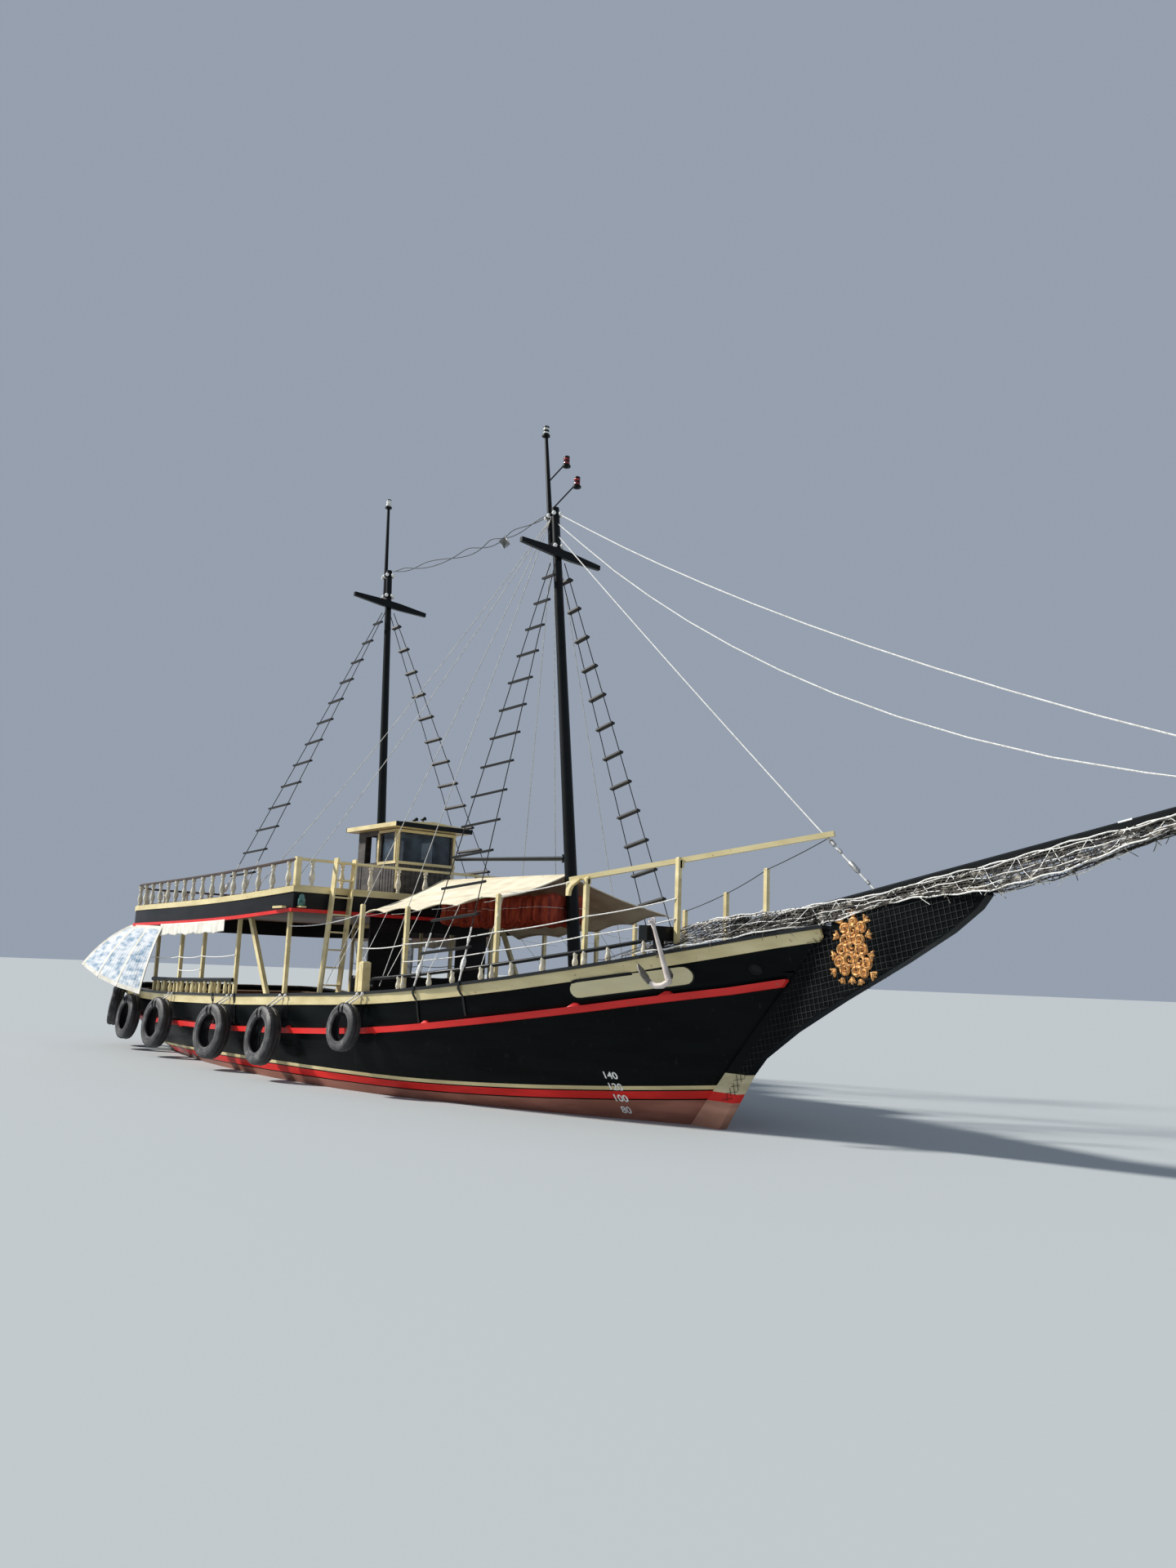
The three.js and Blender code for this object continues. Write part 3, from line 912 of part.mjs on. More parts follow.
// Anchor hung from the fore side of the cathead, its bars as from, to and the radius at each end
const ANCHOR_HEAD = [9600, -1720, 3590];
const ANCHOR_CROWN = [9930, -1600, 2570];
const ANCHOR_BARS = [
  [ANCHOR_HEAD, ANCHOR_CROWN, 30, 46],
  [[9590, -1800, 3600], [9590, -1650, 3600], 20, 20],
  [ANCHOR_HEAD, [CATHEAD.x, -1700, 3480], 20, 20],
  [ANCHOR_CROWN, [9700, -1700, 2480], 46, 38],
  [[9700, -1700, 2480], [9500, -1770, 2630], 38, 28],
  [[9500, -1770, 2630], [9350, -1800, 2830], 28, 14],
  [ANCHOR_CROWN, [9850, -1530, 2620], 44, 32],
  [[9850, -1530, 2620], [9740, -1480, 2800], 32, 14],
];
// Palms as foot, head, thickness and breadth
const ANCHOR_PALMS = [
  [[9500, -1765, 2620], [9370, -1800, 2800], 36, 170],
  [[9830, -1520, 2640], [9745, -1485, 2790], 36, 120],
];
place('anchor', 'galvanised', join([
  ...ANCHOR_BARS.map(([from, to, fromR, toR]) => rod(from, to, fromR, toR, 8)),
  ...ANCHOR_PALMS.map(([foot, head, thick, broad]) => timber(foot, head, thick, broad)),
]).subtract(box(CATHEAD.x - CATHEAD.half, CATHEAD.x + CATHEAD.half + SKIN_GAP, CATHEAD.outer, CATHEAD.inner,
  CATHEAD.under, CATHEAD.over + SKIN_GAP)));

// Net along both sides of the bowsprit and down the cutwater
const NET = { thick: 9, fore: 19500, aft: 12350 };
const netOutline = [[NET.aft, 3050], [13020, 2950], [13640, 3120], [14525, 3560], [15060, 4010], [16660, 4430],
  [NET.fore, 5215], [NET.fore, spritTop(NET.fore) - 40], [NET.aft, spritTop(NET.aft) - 60]];
for (const [side, sign] of SIDES) {
  const inner = SPRIT_SIZE.heelHalf + SKIN_GAP - 20;
  const [y0, y1] = sign < 0 ? [-inner - NET.thick, -inner] : [inner, inner + NET.thick];
  place('bow_net_' + side, 'rope_dark', sidePlate(netOutline, y0, y1).subtract(spritTimber(SKIN_GAP))
    .decompose().sort((a, b) => b.volume() - a.volume())[0]);
}

// Engine in its bay, propeller on its shaft, and rudder on its stock
place('engine', 'engine_grey', box(-6800, -5000, -450, 450, ENGINE_BAY.floor + GAP, 420));
const screwParts = [
  rod([SCREW.x, 0, SCREW.z], [SCREW.x + 700, 0, SCREW.z], SCREW.shaftR, SCREW.shaftR, 24),
  rod([SCREW.x - SCREW.hubLength / 2, 0, SCREW.z], [SCREW.x + SCREW.hubLength / 2, 0, SCREW.z], SCREW.hubR * 0.7,
    SCREW.hubR, 16),
];
for (let i = 0; i < SCREW.blades; i++) {
  const stations = [[0.15, 60, 55], [0.5, 150, 35], [0.8, 150, 22], [1, 60, 12]];
  const rings = stations.map(([share, chord, pitch]) => {
    const tilt = THREE.MathUtils.degToRad(pitch + 12);
    const [c, s] = [Math.cos(tilt), Math.sin(tilt)];
    return [[-1, -0.09], [1, -0.09], [1, 0.09], [-1, 0.09]].map(([u, v]) => [share * SCREW.radius,
      chord * u * c - chord * v * s, chord * u * s + chord * v * c]);
  });
  const mesh = loft(rings).getMesh();
  const geometry = new THREE.BufferGeometry();
  geometry.setAttribute('position', new THREE.Float32BufferAttribute(mesh.vertProperties, 3));
  geometry.setIndex(new THREE.BufferAttribute(mesh.triVerts, 1));
  geometry.rotateY(-Math.PI / 2);
  geometry.rotateX((2 * Math.PI * i) / SCREW.blades);
  geometry.translate(SCREW.x, 0, SCREW.z);
  screwParts.push(solid(geometry));
}
place('propeller', 'bronze', join(screwParts));
const rudderBlade = sidePlate([[RUDDER.x - RUDDER.chord, RUDDER.foot + 60], [RUDDER.x + RUDDER.lead, RUDDER.foot + 60],
  [RUDDER.x + RUDDER.lead, RUDDER.top - 120], [RUDDER.x - 120, RUDDER.top], [RUDDER.x - RUDDER.chord, RUDDER.top - 80]],
  -30, 30);
place('rudder', 'hull_black', join([
  rudderBlade,
  rod([RUDDER.x, 0, RUDDER.foot], [RUDDER.x, 0, RUDDER.boreTop - 60], RUDDER.stockR, RUDDER.stockR, 16),
  rod([RUDDER.x, 0, KEEL.heelTop + 0.5], [RUDDER.x, 0, RUDDER.foot + 80], 28, 28, 16),
]));

// Bench round the stern and the bulkhead with its counter under the front of the upper deck
const BENCH = { depth: 450, height: 440, fore: -5000 };
const benchRing = envelope(-BULWARK_PLANK - 1).intersect(hullPlan(-BULWARK_PLANK - 1))
  .subtract(hullPlan(-BULWARK_PLANK - BENCH.depth))
  .intersect(slab(hullStations, (x) => deckTop(x) + GAP, (x) => deckTop(x) + BENCH.height, HULL_AFT, BENCH.fore, 0));
place('stern_bench', 'deck_wood', benchRing);
const COUNTER = { aft: -1400, fore: -600, half: 1700, top: 2400, wall: 60 };
place('bar_counter', 'board_black', join([
  box(COUNTER.aft, COUNTER.fore, -COUNTER.half, COUNTER.half, 1200, COUNTER.top),
  box(COUNTER.fore - COUNTER.wall, COUNTER.fore, -COUNTER.half, -COUNTER.half + 900, 1200, 5000),
  box(COUNTER.fore - COUNTER.wall, COUNTER.fore, COUNTER.half - 900, COUNTER.half, 1200, 5000),
  box(COUNTER.fore - COUNTER.wall, COUNTER.fore, -COUNTER.half, COUNTER.half, 3500, 5000),
]).subtract(slab(hullStations, () => 0, (x) => deckTop(x) + GAP)).subtract(slab(upperStations, plateUnder, () => 6000)));

export default boat;
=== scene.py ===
"""A two-masted wooden excursion launch afloat, dressed piece by piece in the order it is put together.

Metres. +X is forward, +Y is port and +Z is up. The origin is amidships on the centreline at the waterline.
"""

import math
import random

import bpy
import numpy as np
from mathutils import Matrix, Vector
from mathutils.bvhtree import BVHTree


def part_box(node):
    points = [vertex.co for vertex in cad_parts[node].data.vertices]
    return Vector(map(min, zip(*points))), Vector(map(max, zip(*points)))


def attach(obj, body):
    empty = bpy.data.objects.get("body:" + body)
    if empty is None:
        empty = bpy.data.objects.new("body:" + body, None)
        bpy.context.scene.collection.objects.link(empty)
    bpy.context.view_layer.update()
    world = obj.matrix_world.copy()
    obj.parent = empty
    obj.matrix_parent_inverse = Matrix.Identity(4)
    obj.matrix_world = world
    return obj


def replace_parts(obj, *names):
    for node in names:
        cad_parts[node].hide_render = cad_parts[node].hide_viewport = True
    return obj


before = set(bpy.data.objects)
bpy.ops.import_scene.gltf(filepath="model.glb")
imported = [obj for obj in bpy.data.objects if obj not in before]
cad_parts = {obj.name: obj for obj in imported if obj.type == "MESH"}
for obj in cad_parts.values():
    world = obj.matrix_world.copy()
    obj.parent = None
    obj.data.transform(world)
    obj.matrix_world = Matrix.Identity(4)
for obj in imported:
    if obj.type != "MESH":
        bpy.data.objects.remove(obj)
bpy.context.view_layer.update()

# Camera
# A hand-held camera about 2.6 m above the water, off the starboard bow. It looks a little up at the masts
# and leans by two degrees, so the bowsprit climbs out of the picture on the right.
PHOTO_LONG_SIDE = 1920
FOCAL_LENGTH_PX = 1442
CAMERA_AT = Vector((25.068, -15.705, 2.647))
HEADING, PITCH, ROLL = (math.radians(a) for a in (51.256, 9.17, 2.209))

lens = bpy.data.cameras.new("camera")
lens.sensor_width = 36
lens.lens = FOCAL_LENGTH_PX / PHOTO_LONG_SIDE * lens.sensor_width
lens.clip_start = 0.1
lens.clip_end = 2000
camera = bpy.data.objects.new("camera", lens)
bpy.context.scene.collection.objects.link(camera)
level_ahead = Vector((-math.sin(HEADING), math.cos(HEADING), 0))
level_right = Vector((math.cos(HEADING), math.sin(HEADING), 0))
ahead = level_ahead * math.cos(PITCH) + Vector((0, 0, math.sin(PITCH)))
above = -level_ahead * math.sin(PITCH) + Vector((0, 0, math.cos(PITCH)))
camera_right = level_right * math.cos(ROLL) + above * math.sin(ROLL)
camera_up = above * math.cos(ROLL) - level_right * math.sin(ROLL)
turned = Matrix((camera_right, camera_up, -ahead)).transposed().to_4x4()
camera.matrix_world = Matrix.Translation(CAMERA_AT) @ turned
bpy.context.scene.camera = camera

# Light and floor
# High afternoon light from the starboard quarter, softened as in a studio, and a plain pale floor at the
# waterline that the boat lies in.
SUN_FROM = Vector((-0.6, -0.52, 0.58))
SUN_STRENGTH = 4.9
SUN_COLOUR = (1, 0.97, 0.92)
SUN_SPREAD = math.radians(5)
SKY_COLOUR = (0.66, 0.76, 0.92)
SKY_STRENGTH = 0.46
FLOOR_HALF = 600
FLOOR_COLOUR = (0.44, 0.47, 0.48)

sun = bpy.data.objects.new("sun", bpy.data.lights.new("sun", "SUN"))
sun.data.energy = SUN_STRENGTH
sun.data.angle = SUN_SPREAD
sun.data.color = SUN_COLOUR
sun.rotation_euler = SUN_FROM.to_track_quat("Z", "Y").to_euler()
bpy.context.scene.collection.objects.link(sun)
sky = bpy.data.worlds.new("sky")
sky.use_nodes = True
sky.node_tree.nodes["Background"].inputs["Color"].default_value = (*SKY_COLOUR, 1)
sky.node_tree.nodes["Background"].inputs["Strength"].default_value = SKY_STRENGTH
bpy.context.scene.world = sky
bpy.context.scene.view_settings.view_transform = "Standard"


class Finish:
    """A finish in the making: its material, its shader's sockets and the name of its slot."""

    def __init__(self, name, roughness, slot=None, metallic=0.0):
        self.material, self.slot = bpy.data.materials.new(name), slot
        self.material.use_nodes = True
        self.shader = self.material.node_tree.nodes["Principled BSDF"].inputs
        self.shader["Roughness"].default_value = roughness
        self.shader["Metallic"].default_value = metallic

    def into(self, socket, value):
        if isinstance(value, bpy.types.NodeSocket):
            self.material.node_tree.links.new(value, socket)
        else:
            socket.default_value = value

    def joined(self, kind, inputs, output=0, **settings):
        """One output of a new node, with its inputs linked to sockets or set to values."""
        node = self.material.node_tree.nodes.new("ShaderNode" + kind)
        for setting, value in settings.items():
            setattr(node, setting, value)
        for key, value in inputs.items():
            self.into(node.inputs[key], value)
        return node.outputs[output]

    def maths(self, operation, first, second=0.5):
        return self.joined("Math", {0: first, 1: second}, operation=operation)

    def part(self, vector, axis):
        return self.joined("SeparateXYZ", {"Vector": vector}, axis)

    def place(self, kind="Object"):
        """Where a point is in the piece's own space."""
        return self.joined("TexCoord", {}, kind)

    def coloured(self, colour):
        self.into(self.shader["Base Color"], colour)

    def patches(self, scale, stretch=(1, 1, 1), detail=5):
        """Soft cloudy patches in the piece's own space."""
        place = self.joined("Mapping", {"Vector": self.place(), "Scale": stretch})
        return self.joined("TexNoise", {"Vector": place, "Scale": scale, "Detail": detail}, "Fac")

    def shaded(self, factor, stops, interpolation="LINEAR"):
        """Colours along a ramp, from stops of (place, colour)."""
        ramp = self.material.node_tree.nodes.new("ShaderNodeValToRGB")
        ramp.color_ramp.interpolation = interpolation
        elements = ramp.color_ramp.elements
        while len(elements) < len(stops):
            elements.new(0.5)
        for element, (place, colour) in zip(elements, stops):
            element.position = place
            element.color = (*colour, 1)
        self.into(ramp.inputs["Fac"], factor)
        return ramp.outputs["Color"]

    def bumped(self, height, strength, distance=0.01):
        self.into(self.shader["Normal"],
                  self.joined("Bump", {"Height": height, "Strength": strength, "Distance": distance}))

    def mixed(self, factor, first, second, blend_type="MIX"):
        """Two colours mixed by a factor, each a socket or a plain colour."""
        first, second = ((*value, 1) if isinstance(value, tuple) else value for value in (first, second))
        inputs = {0: factor, 6: first, 7: second}
        return self.joined("Mix", inputs, 2, data_type="RGBA", blend_type=blend_type)

    def seams(self, axis, spacing, width):
        """Thin lines across one axis of the piece, 1 in the seam and 0 on the plank."""
        steps = self.maths("PINGPONG", self.part(self.place(), axis), spacing / 2)
        return self.maths("LESS_THAN", steps, width / 2)


floor_paint = Finish("floor_paint", 0.95)
floor_paint.into(floor_paint.shader["Specular IOR Level"], 0.1)
floor_paint.coloured((*FLOOR_COLOUR, 1))
corners = [(-1, -1), (1, -1), (1, 1), (-1, 1)]
floor_mesh = bpy.data.meshes.new("floor")
floor_mesh.from_pydata([(x * FLOOR_HALF, y * FLOOR_HALF, 0) for x, y in corners], [], [(0, 1, 2, 3)])
floor_mesh.materials.append(floor_paint.material)
floor = bpy.data.objects.new("floor", floor_mesh)
bpy.context.scene.collection.objects.link(floor)

# Hull
# A full-bodied wooden hull of sawn planks on frames, filled, faired and enamelled gloss black. Below the
# black it carries a cream line, a red stripe between two thin black ones and brown antifouling.
BLACK_DARK, BLACK_LIGHT = (0.002, 0.003, 0.003), (0.005, 0.0065, 0.007)
BLACK_GLOSS = 0.05
CREAM, CREAM_DARK = (0.84, 0.72, 0.4), (0.62, 0.51, 0.25)
RED, RED_DARK = (0.84, 0.04, 0.035), (0.66, 0.024, 0.022)
ANTIFOULING = (0.42, 0.18, 0.13)
SALT = (0.08, 0.078, 0.07)
PLANK_WIDE, PLANK_SEAM = 0.17, 0.008
# Heights above the water where each band of the boot-top starts. From BOOT_LEVEL_X forward the bands rise
# with the square of the distance, and aft of it they fall a little.
BOOT_TOP = [(-2, ANTIFOULING), (0.17, BLACK_DARK), (0.195, RED), (0.335, BLACK_DARK), (0.36, CREAM),
            (0.425, BLACK_LIGHT)]
BOOT_LOW, BOOT_HIGH = -2, 4
BOOT_LEVEL_X, BOOT_RISE_FORE, BOOT_RISE_AFT = 3, 0.0073, -0.001


def side_paint(name, bands, level=False):
    """Hull enamel in bands, with faint plank seams, runs of salt and dull patches."""
    paint = Finish(name, 0.3)
    paint.into(paint.shader["Specular IOR Level"], BLACK_GLOSS)
    height = paint.part(paint.place(), "Z")
    if not level:
        out = paint.maths("SUBTRACT", paint.part(paint.place(), "X"), BOOT_LEVEL_X)
        for half, rise in (("MAXIMUM", BOOT_RISE_FORE), ("MINIMUM", BOOT_RISE_AFT)):
            reach = paint.maths(half, out, 0)
            risen = paint.maths("MULTIPLY", paint.maths("MULTIPLY", reach, reach), rise)
            height = paint.maths("SUBTRACT", height, risen)
    share = paint.joined("MapRange", {"Value": height, "From Min": BOOT_LOW, "From Max": BOOT_HIGH})
    stripes = paint.shaded(share, [((z - BOOT_LOW) / (BOOT_HIGH - BOOT_LOW), colour) for z, colour in bands],
                           "CONSTANT")
    grime = paint.patches(1.2, (0.6, 0.6, 3), 8)
    dulled = paint.shaded(grime, [(0.42, (0.72, 0.7, 0.68)), (0.62, (1, 1, 1))])
    runs = paint.shaded(paint.patches(5, (2.2, 2.2, 0.12), 6),
                        [(0.64, (0, 0, 0)), (0.82, (0.22, 0.22, 0.22))])
    paint.coloured(paint.mixed(runs, paint.mixed(1.0, stripes, dulled, "MULTIPLY"), SALT))
    paint.into(paint.shader["Roughness"],
               paint.shaded(grime, [(0.35, (0.2, 0.2, 0.2)), (0.7, (0.42, 0.42, 0.42))]))
    uneven = paint.patches(0.9, (0.35, 0.35, 2.2), 3)
    paint.bumped(paint.maths("SUBTRACT", uneven, paint.seams("Z", PLANK_WIDE, PLANK_SEAM)), 0.25, 0.012)
    return paint


def enamel(name, dark, light, roughness, slot=None, scale=2.5, chips=None, gloss=0.5):
    """Brushed gloss enamel: two shades in patches, brush marks, and chips of the wood where it wears."""
    paint = Finish(name, roughness, slot)
    paint.into(paint.shader["Specular IOR Level"], gloss)
    colour = paint.shaded(paint.patches(scale, (0.5, 0.5, 1.5)), [(0.3, dark), (0.7, light)])
    if chips:
        worn = paint.shaded(paint.patches(14, detail=8), [(0.66, (0, 0, 0)), (0.72, (1, 1, 1))])
        colour = paint.mixed(worn, colour, chips)
    paint.coloured(colour)
    paint.bumped(paint.patches(30, (0.3, 0.3, 2)), 0.12, 0.004)
    return paint


def mottled(name, roughness, slot, stops, scale, stretch=(1, 1, 1), detail=5, metallic=0.0):
    """A finish of a few shades in soft patches."""
    finish = Finish(name, roughness, slot, metallic)
    finish.coloured(finish.shaded(finish.patches(scale, stretch, detail), stops))
    return finish


def dressed(names, finish, angle=35):
    """Gives CAD nodes a finish, and shades them smooth where their faces turn by less than the angle."""
    for name in names:
        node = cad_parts[name]
        node.data.materials.clear()
        node.data.materials.append(finish.material)
        if "custom_normal" in node.data.attributes:
            node.data.attributes.remove(node.data.attributes["custom_normal"])
        for polygon in node.data.polygons:
            polygon.use_smooth = True
        weld = node.modifiers.new("weld", "WELD")
        weld.merge_threshold = 0.0002
        split = node.modifiers.new("edges", "EDGE_SPLIT")
        split.split_angle = math.radians(angle)
        split.use_edge_sharp = False


dressed(["hull"], side_paint("hull_enamel", BOOT_TOP), 50)
dressed(["keel", "rudder"], side_paint("keel_enamel", BOOT_TOP))
bulwark_black = enamel("bulwark_black", BLACK_DARK, BLACK_LIGHT, 0.3, gloss=BLACK_GLOSS)
dressed(["bulwark_starboard", "bulwark_port"], bulwark_black, 50)

# Cutwater
# A deep false stem bolted ahead of the planking, black above and antifouled below, with a cream patch and
# a pale band where the stem meets the water.
STEM_BANDS = [(-2, (0.6, 0.31, 0.22)), (0.48, RED), (0.63, (0.74, 0.66, 0.42)), (0.98, BLACK_LIGHT)]
dressed(["cutwater"], side_paint("stem_enamel", STEM_BANDS, level=True))

# Rails, bands and spars
# The cream sheer band, the black cap rail and the red rubbing strake are sawn timbers bent round the hull.
# The spars and masts have the same black, and the deck posts, ladder and wheelhouse roof the same cream.
cream_enamel = enamel("cream_enamel", CREAM_DARK, CREAM, 0.38, "trim_cream", chips=(0.3, 0.22, 0.12))
red_enamel = enamel("red_enamel", RED_DARK, RED, 0.35, "rail_red", chips=(0.35, 0.12, 0.08), gloss=0.25)
black_enamel = enamel("black_enamel", BLACK_DARK, BLACK_LIGHT, 0.34, "spar_black", gloss=0.2)
dressed(["sheer_band", "deck_edge_band", "deck_posts_starboard", "deck_posts_port", "ladder",
         "wheelhouse_roof"], cream_enamel, 30)
dressed(["rub_rail", "deck_edge_rub"], red_enamel, 50)
dressed(["bowsprit", "cathead", "main_yard", "aft_yard", "boom"], black_enamel, 30)
dressed(["main_mast", "aft_mast"], black_enamel, 40)

# The cap rail's top faces are painted pale in uneven patches, a painted highlight where the sun falls on them
cap_enamel = Finish("cap_enamel", 0.4)
# painted highlight: faces that look upward take the pale colour
lit_top = cap_enamel.shaded(cap_enamel.part(cap_enamel.place("Normal"), "Z"),
                              [(0.8, (0, 0, 0)), (0.9, (1, 1, 1))])
top_highlight = cap_enamel.shaded(cap_enamel.patches(3, (0.4, 2, 2), 8),
                         [(0.35, (0.12, 0.11, 0.1)), (0.6, (0.5, 0.46, 0.38))])
cap_enamel.coloured(cap_enamel.mixed(lit_top, BLACK_LIGHT, top_highlight))
dressed(["cap_rail_starboard", "cap_rail_port"], cap_enamel, 30)

# Decks and boards
# The decks and the stern bench are oiled hardwood planks, caulked black between. The fascias, the helm's
# console and the counter are of boards enamelled near black.
DECK_PLANK, DECK_SEAM = 0.12, 0.008
deck_planks = Finish("deck_planks", 0.55)
grain = deck_planks.patches(9, (0.25, 4, 4), 9)
tone = deck_planks.shaded(grain, [(0.3, (0.1, 0.05, 0.024)), (0.7, (0.28, 0.16, 0.08))])
caulking = deck_planks.seams("Y", DECK_PLANK, DECK_SEAM)
deck_planks.coloured(deck_planks.mixed(caulking, tone, (0.01, 0.01, 0.01)))
deck_planks.bumped(grain, 0.2, 0.004)
dressed(["main_deck", "upper_deck", "stern_bench"], deck_planks, 30)
board_enamel = enamel("board_enamel", (0.006, 0.006, 0.007), (0.016, 0.016, 0.018), 0.4, gloss=0.15)
dressed(["fascia_starboard", "fascia_port", "helm_stand", "bar_counter"], board_enamel, 30)

# Name boards
# A cream oak board with round ends and a black edge, screwed to each bow under the sheer band and left bare.
SIDES = ((-1, "starboard"), (1, "port"))
BOARD_AFT, BOARD_FORE = Vector((7.81, 0, 2.34)), Vector((9.95, 0, 2.71))
BOARD_TALL, BOARD_THICK, BOARD_STEPS = 0.3, 0.035, 22
EDGE_WIDE, EDGE_THICK, EDGE_ENDS = 0.025, 0.021, Vector((0.03, 0, 0.004))
board_cream = enamel("name_board_cream", (0.66, 0.58, 0.34), (0.78, 0.7, 0.42), 0.4, "trim_cream")


class Stock:
    """Timbers, ropes and turned pieces of one finish, gathered into one mesh."""

    def __init__(self):
        self.points, self.faces = [], []

    def add(self, points, faces):
        base = len(self.points)
        self.points += [tuple(p) for p in points]
        self.faces += [tuple(base + i for i in face) for face in faces]

    def skin(self, rings, closed=False):
        """A skin over rings with the same number of points, in order along the piece."""
        n, count = len(rings[0]), len(rings)
        faces = []
        for i in range(count if closed else count - 1):
            a, b = i * n, ((i + 1) % count) * n
            faces += [(a + k, a + (k + 1) % n, b + (k + 1) % n, b + k) for k in range(n)]
        if not closed:
            faces += [tuple(reversed(range(n))), tuple(range((count - 1) * n, count * n))]
        self.add([p for ring in rings for p in ring], faces)

    def swept(self, path, section, up=None, closed=False):
        """A section of (side, up) points, or a function of the share along, carried along a path."""
        path = [Vector(p) for p in path]
        last = len(path) - 1
        rings, side = [], None
        for i, p in enumerate(path):
            before = path[i - 1] if (i > 0 or closed) else p
            after = path[(i + 1) % len(path)] if (i < last or closed) else p
            ahead = (after - before).normalized()
            if up is not None:
                side = ahead.cross(Vector(up)).normalized()
            elif side is None:
                side = ahead.orthogonal().normalized()
            else:
                side = (side - ahead * side.dot(ahead)).normalized()
            over = side.cross(ahead)
            outline = section(i / max(last, 1)) if callable(section) else section
            rings.append([p + side * u + over * v for u, v in outline])
        self.skin(rings, closed=closed)

    def rope(self, path, radius, sides=6, closed=False):
        self.swept(path, circle(radius, sides), closed=closed)

    def bar(self, start, end, width, depth, up=(0, 0, 1)):
        """A square-edged timber, width across and depth along up."""
        self.swept([start, end], oblong(width / 2, depth / 2), up=up)

    def turned(self, foot, head, profile, sides=10):
        """A piece turned in a lathe, from rows of (share of the length, radius)."""
        foot, head = Vector(foot), Vector(head)
        axis = (head - foot).normalized()
        side = axis.orthogonal().normalized()
        over = axis.cross(side)
        self.skin([[foot.lerp(head, share) + side * u + over * v for u, v in circle(radius, sides)]
                   for share, radius in profile])

    def made(self, name, finish, body="root", angle=40, slot=None):
        """The gathered pieces as one object that rides on its body."""
        mesh = bpy.data.meshes.new(name)
        mesh.from_pydata(self.points, [], self.faces)
        mesh.shade_smooth()
        mesh.set_sharp_from_angle(angle=math.radians(angle))
        mesh.update()
        return placed(name, mesh, finish, body)


def placed(name, mesh, finish, body="root"):
    """A mesh as a piece of one finish that rides on a body."""
    mesh.materials.clear()
    mesh.materials.append(finish.material)
    piece = bpy.data.objects.new(name, mesh)
    bpy.context.scene.collection.objects.link(piece)
    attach(piece, body)
    return piece


def oblong(w, d):
    """A square-edged section that reaches w and d each way from its middle."""
    return [(-w, -d), (w, -d), (w, d), (-w, d)]


def circle(radius, sides):
    turns = [2 * math.pi * k / sides for k in range(sides)]
    return [(radius * math.cos(a), radius * math.sin(a)) for a in turns]


def surface_of(*names):
    """The outer faces of some CAD nodes, to find points on."""
    points, faces = [], []
    for name in names:
        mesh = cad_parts[name].data
        base = len(points)
        points += [v.co for v in mesh.vertices]
        faces += [[base + i for i in polygon.vertices] for polygon in mesh.polygons]
    return BVHTree.FromPolygons(points, faces)


side_skin = surface_of("hull", "cutwater", "bulwark_starboard", "bulwark_port", "sheer_band")


def on_side(x, z, sign, out=0.0):
    """The point of the hull's side at x and z, moved out by a little, on starboard (-1) or port (1)."""
    found = side_skin.ray_cast(Vector((x, sign * 8, z)), Vector((0, -sign, 0)))[0]
    return None if found is None else Vector((x, found.y + sign * out, z))


def rounded_board(stock, aft, fore, tall, thick, sign):
    """A board that follows the side, its ends half round."""
    long = (fore - aft).length
    rings = []
    for turn in np.linspace(0, math.pi, BOARD_STEPS + 1):
        # closer steps at the round ends
        along = 0.5 - 0.5 * math.cos(turn)
        from_end = min(along, 1 - along) * long
        half = tall / 2
        if from_end < half:
            half = math.sqrt(max(half ** 2 - (half - from_end) ** 2, 0.0004))
        middle = aft.lerp(fore, along)
        inner = [on_side(middle.x, z, sign) for z in np.linspace(middle.z - half, middle.z + half, 5)]
        outer = [p + Vector((0, sign * thick, 0)) for p in inner]
        rings.append([*inner, *reversed(outer)])
    stock.skin(rings)


for sign, side in SIDES:
    board, edge = Stock(), Stock()
    rounded_board(board, BOARD_AFT, BOARD_FORE, BOARD_TALL, BOARD_THICK, sign)
    board.made("name_board_" + side, board_cream, angle=30)
    rounded_board(edge, BOARD_AFT - EDGE_ENDS, BOARD_FORE + EDGE_ENDS, BOARD_TALL + EDGE_WIDE * 2, EDGE_THICK,
                  sign)
    edge.made("name_board_edge_" + side, black_enamel, angle=30)

# Hawse pipes
# A cast iron ring round the anchor rope's hole, high on each bow.
HAWSE_X, HAWSE_Z, HAWSE_R, HAWSE_LONG, HAWSE_LIP, HAWSE_STEPS = 10.93, 2.84, 0.085, 1.2, 0.02, 24


def hoop(hub, across, over, count):
    """Points round a hub, on the circle or ellipse that two arrows from it give."""
    return [hub + across * math.cos(a) + over * math.sin(a)
            for a in np.linspace(0, 2 * math.pi, count, endpoint=False)]


for sign, side in SIDES:
    hawse = Stock()
    hub = on_side(HAWSE_X, HAWSE_Z, sign)
    fore = (on_side(HAWSE_X + 0.2, HAWSE_Z, sign) - hub).normalized()
    over = (on_side(HAWSE_X, HAWSE_Z + 0.2, sign) - hub).normalized()
    lip = hoop(hub, fore * HAWSE_R * HAWSE_LONG, over * HAWSE_R, HAWSE_STEPS)
    hawse.rope(lip, HAWSE_LIP, closed=True, sides=8)
    mouth = [hub + (p - hub) * 0.9 + Vector((0, sign * 0.004, 0)) for p in lip]
    hawse.add(mouth, [tuple(range(HAWSE_STEPS))])
    hawse.made("hawse_pipe_" + side, black_enamel)

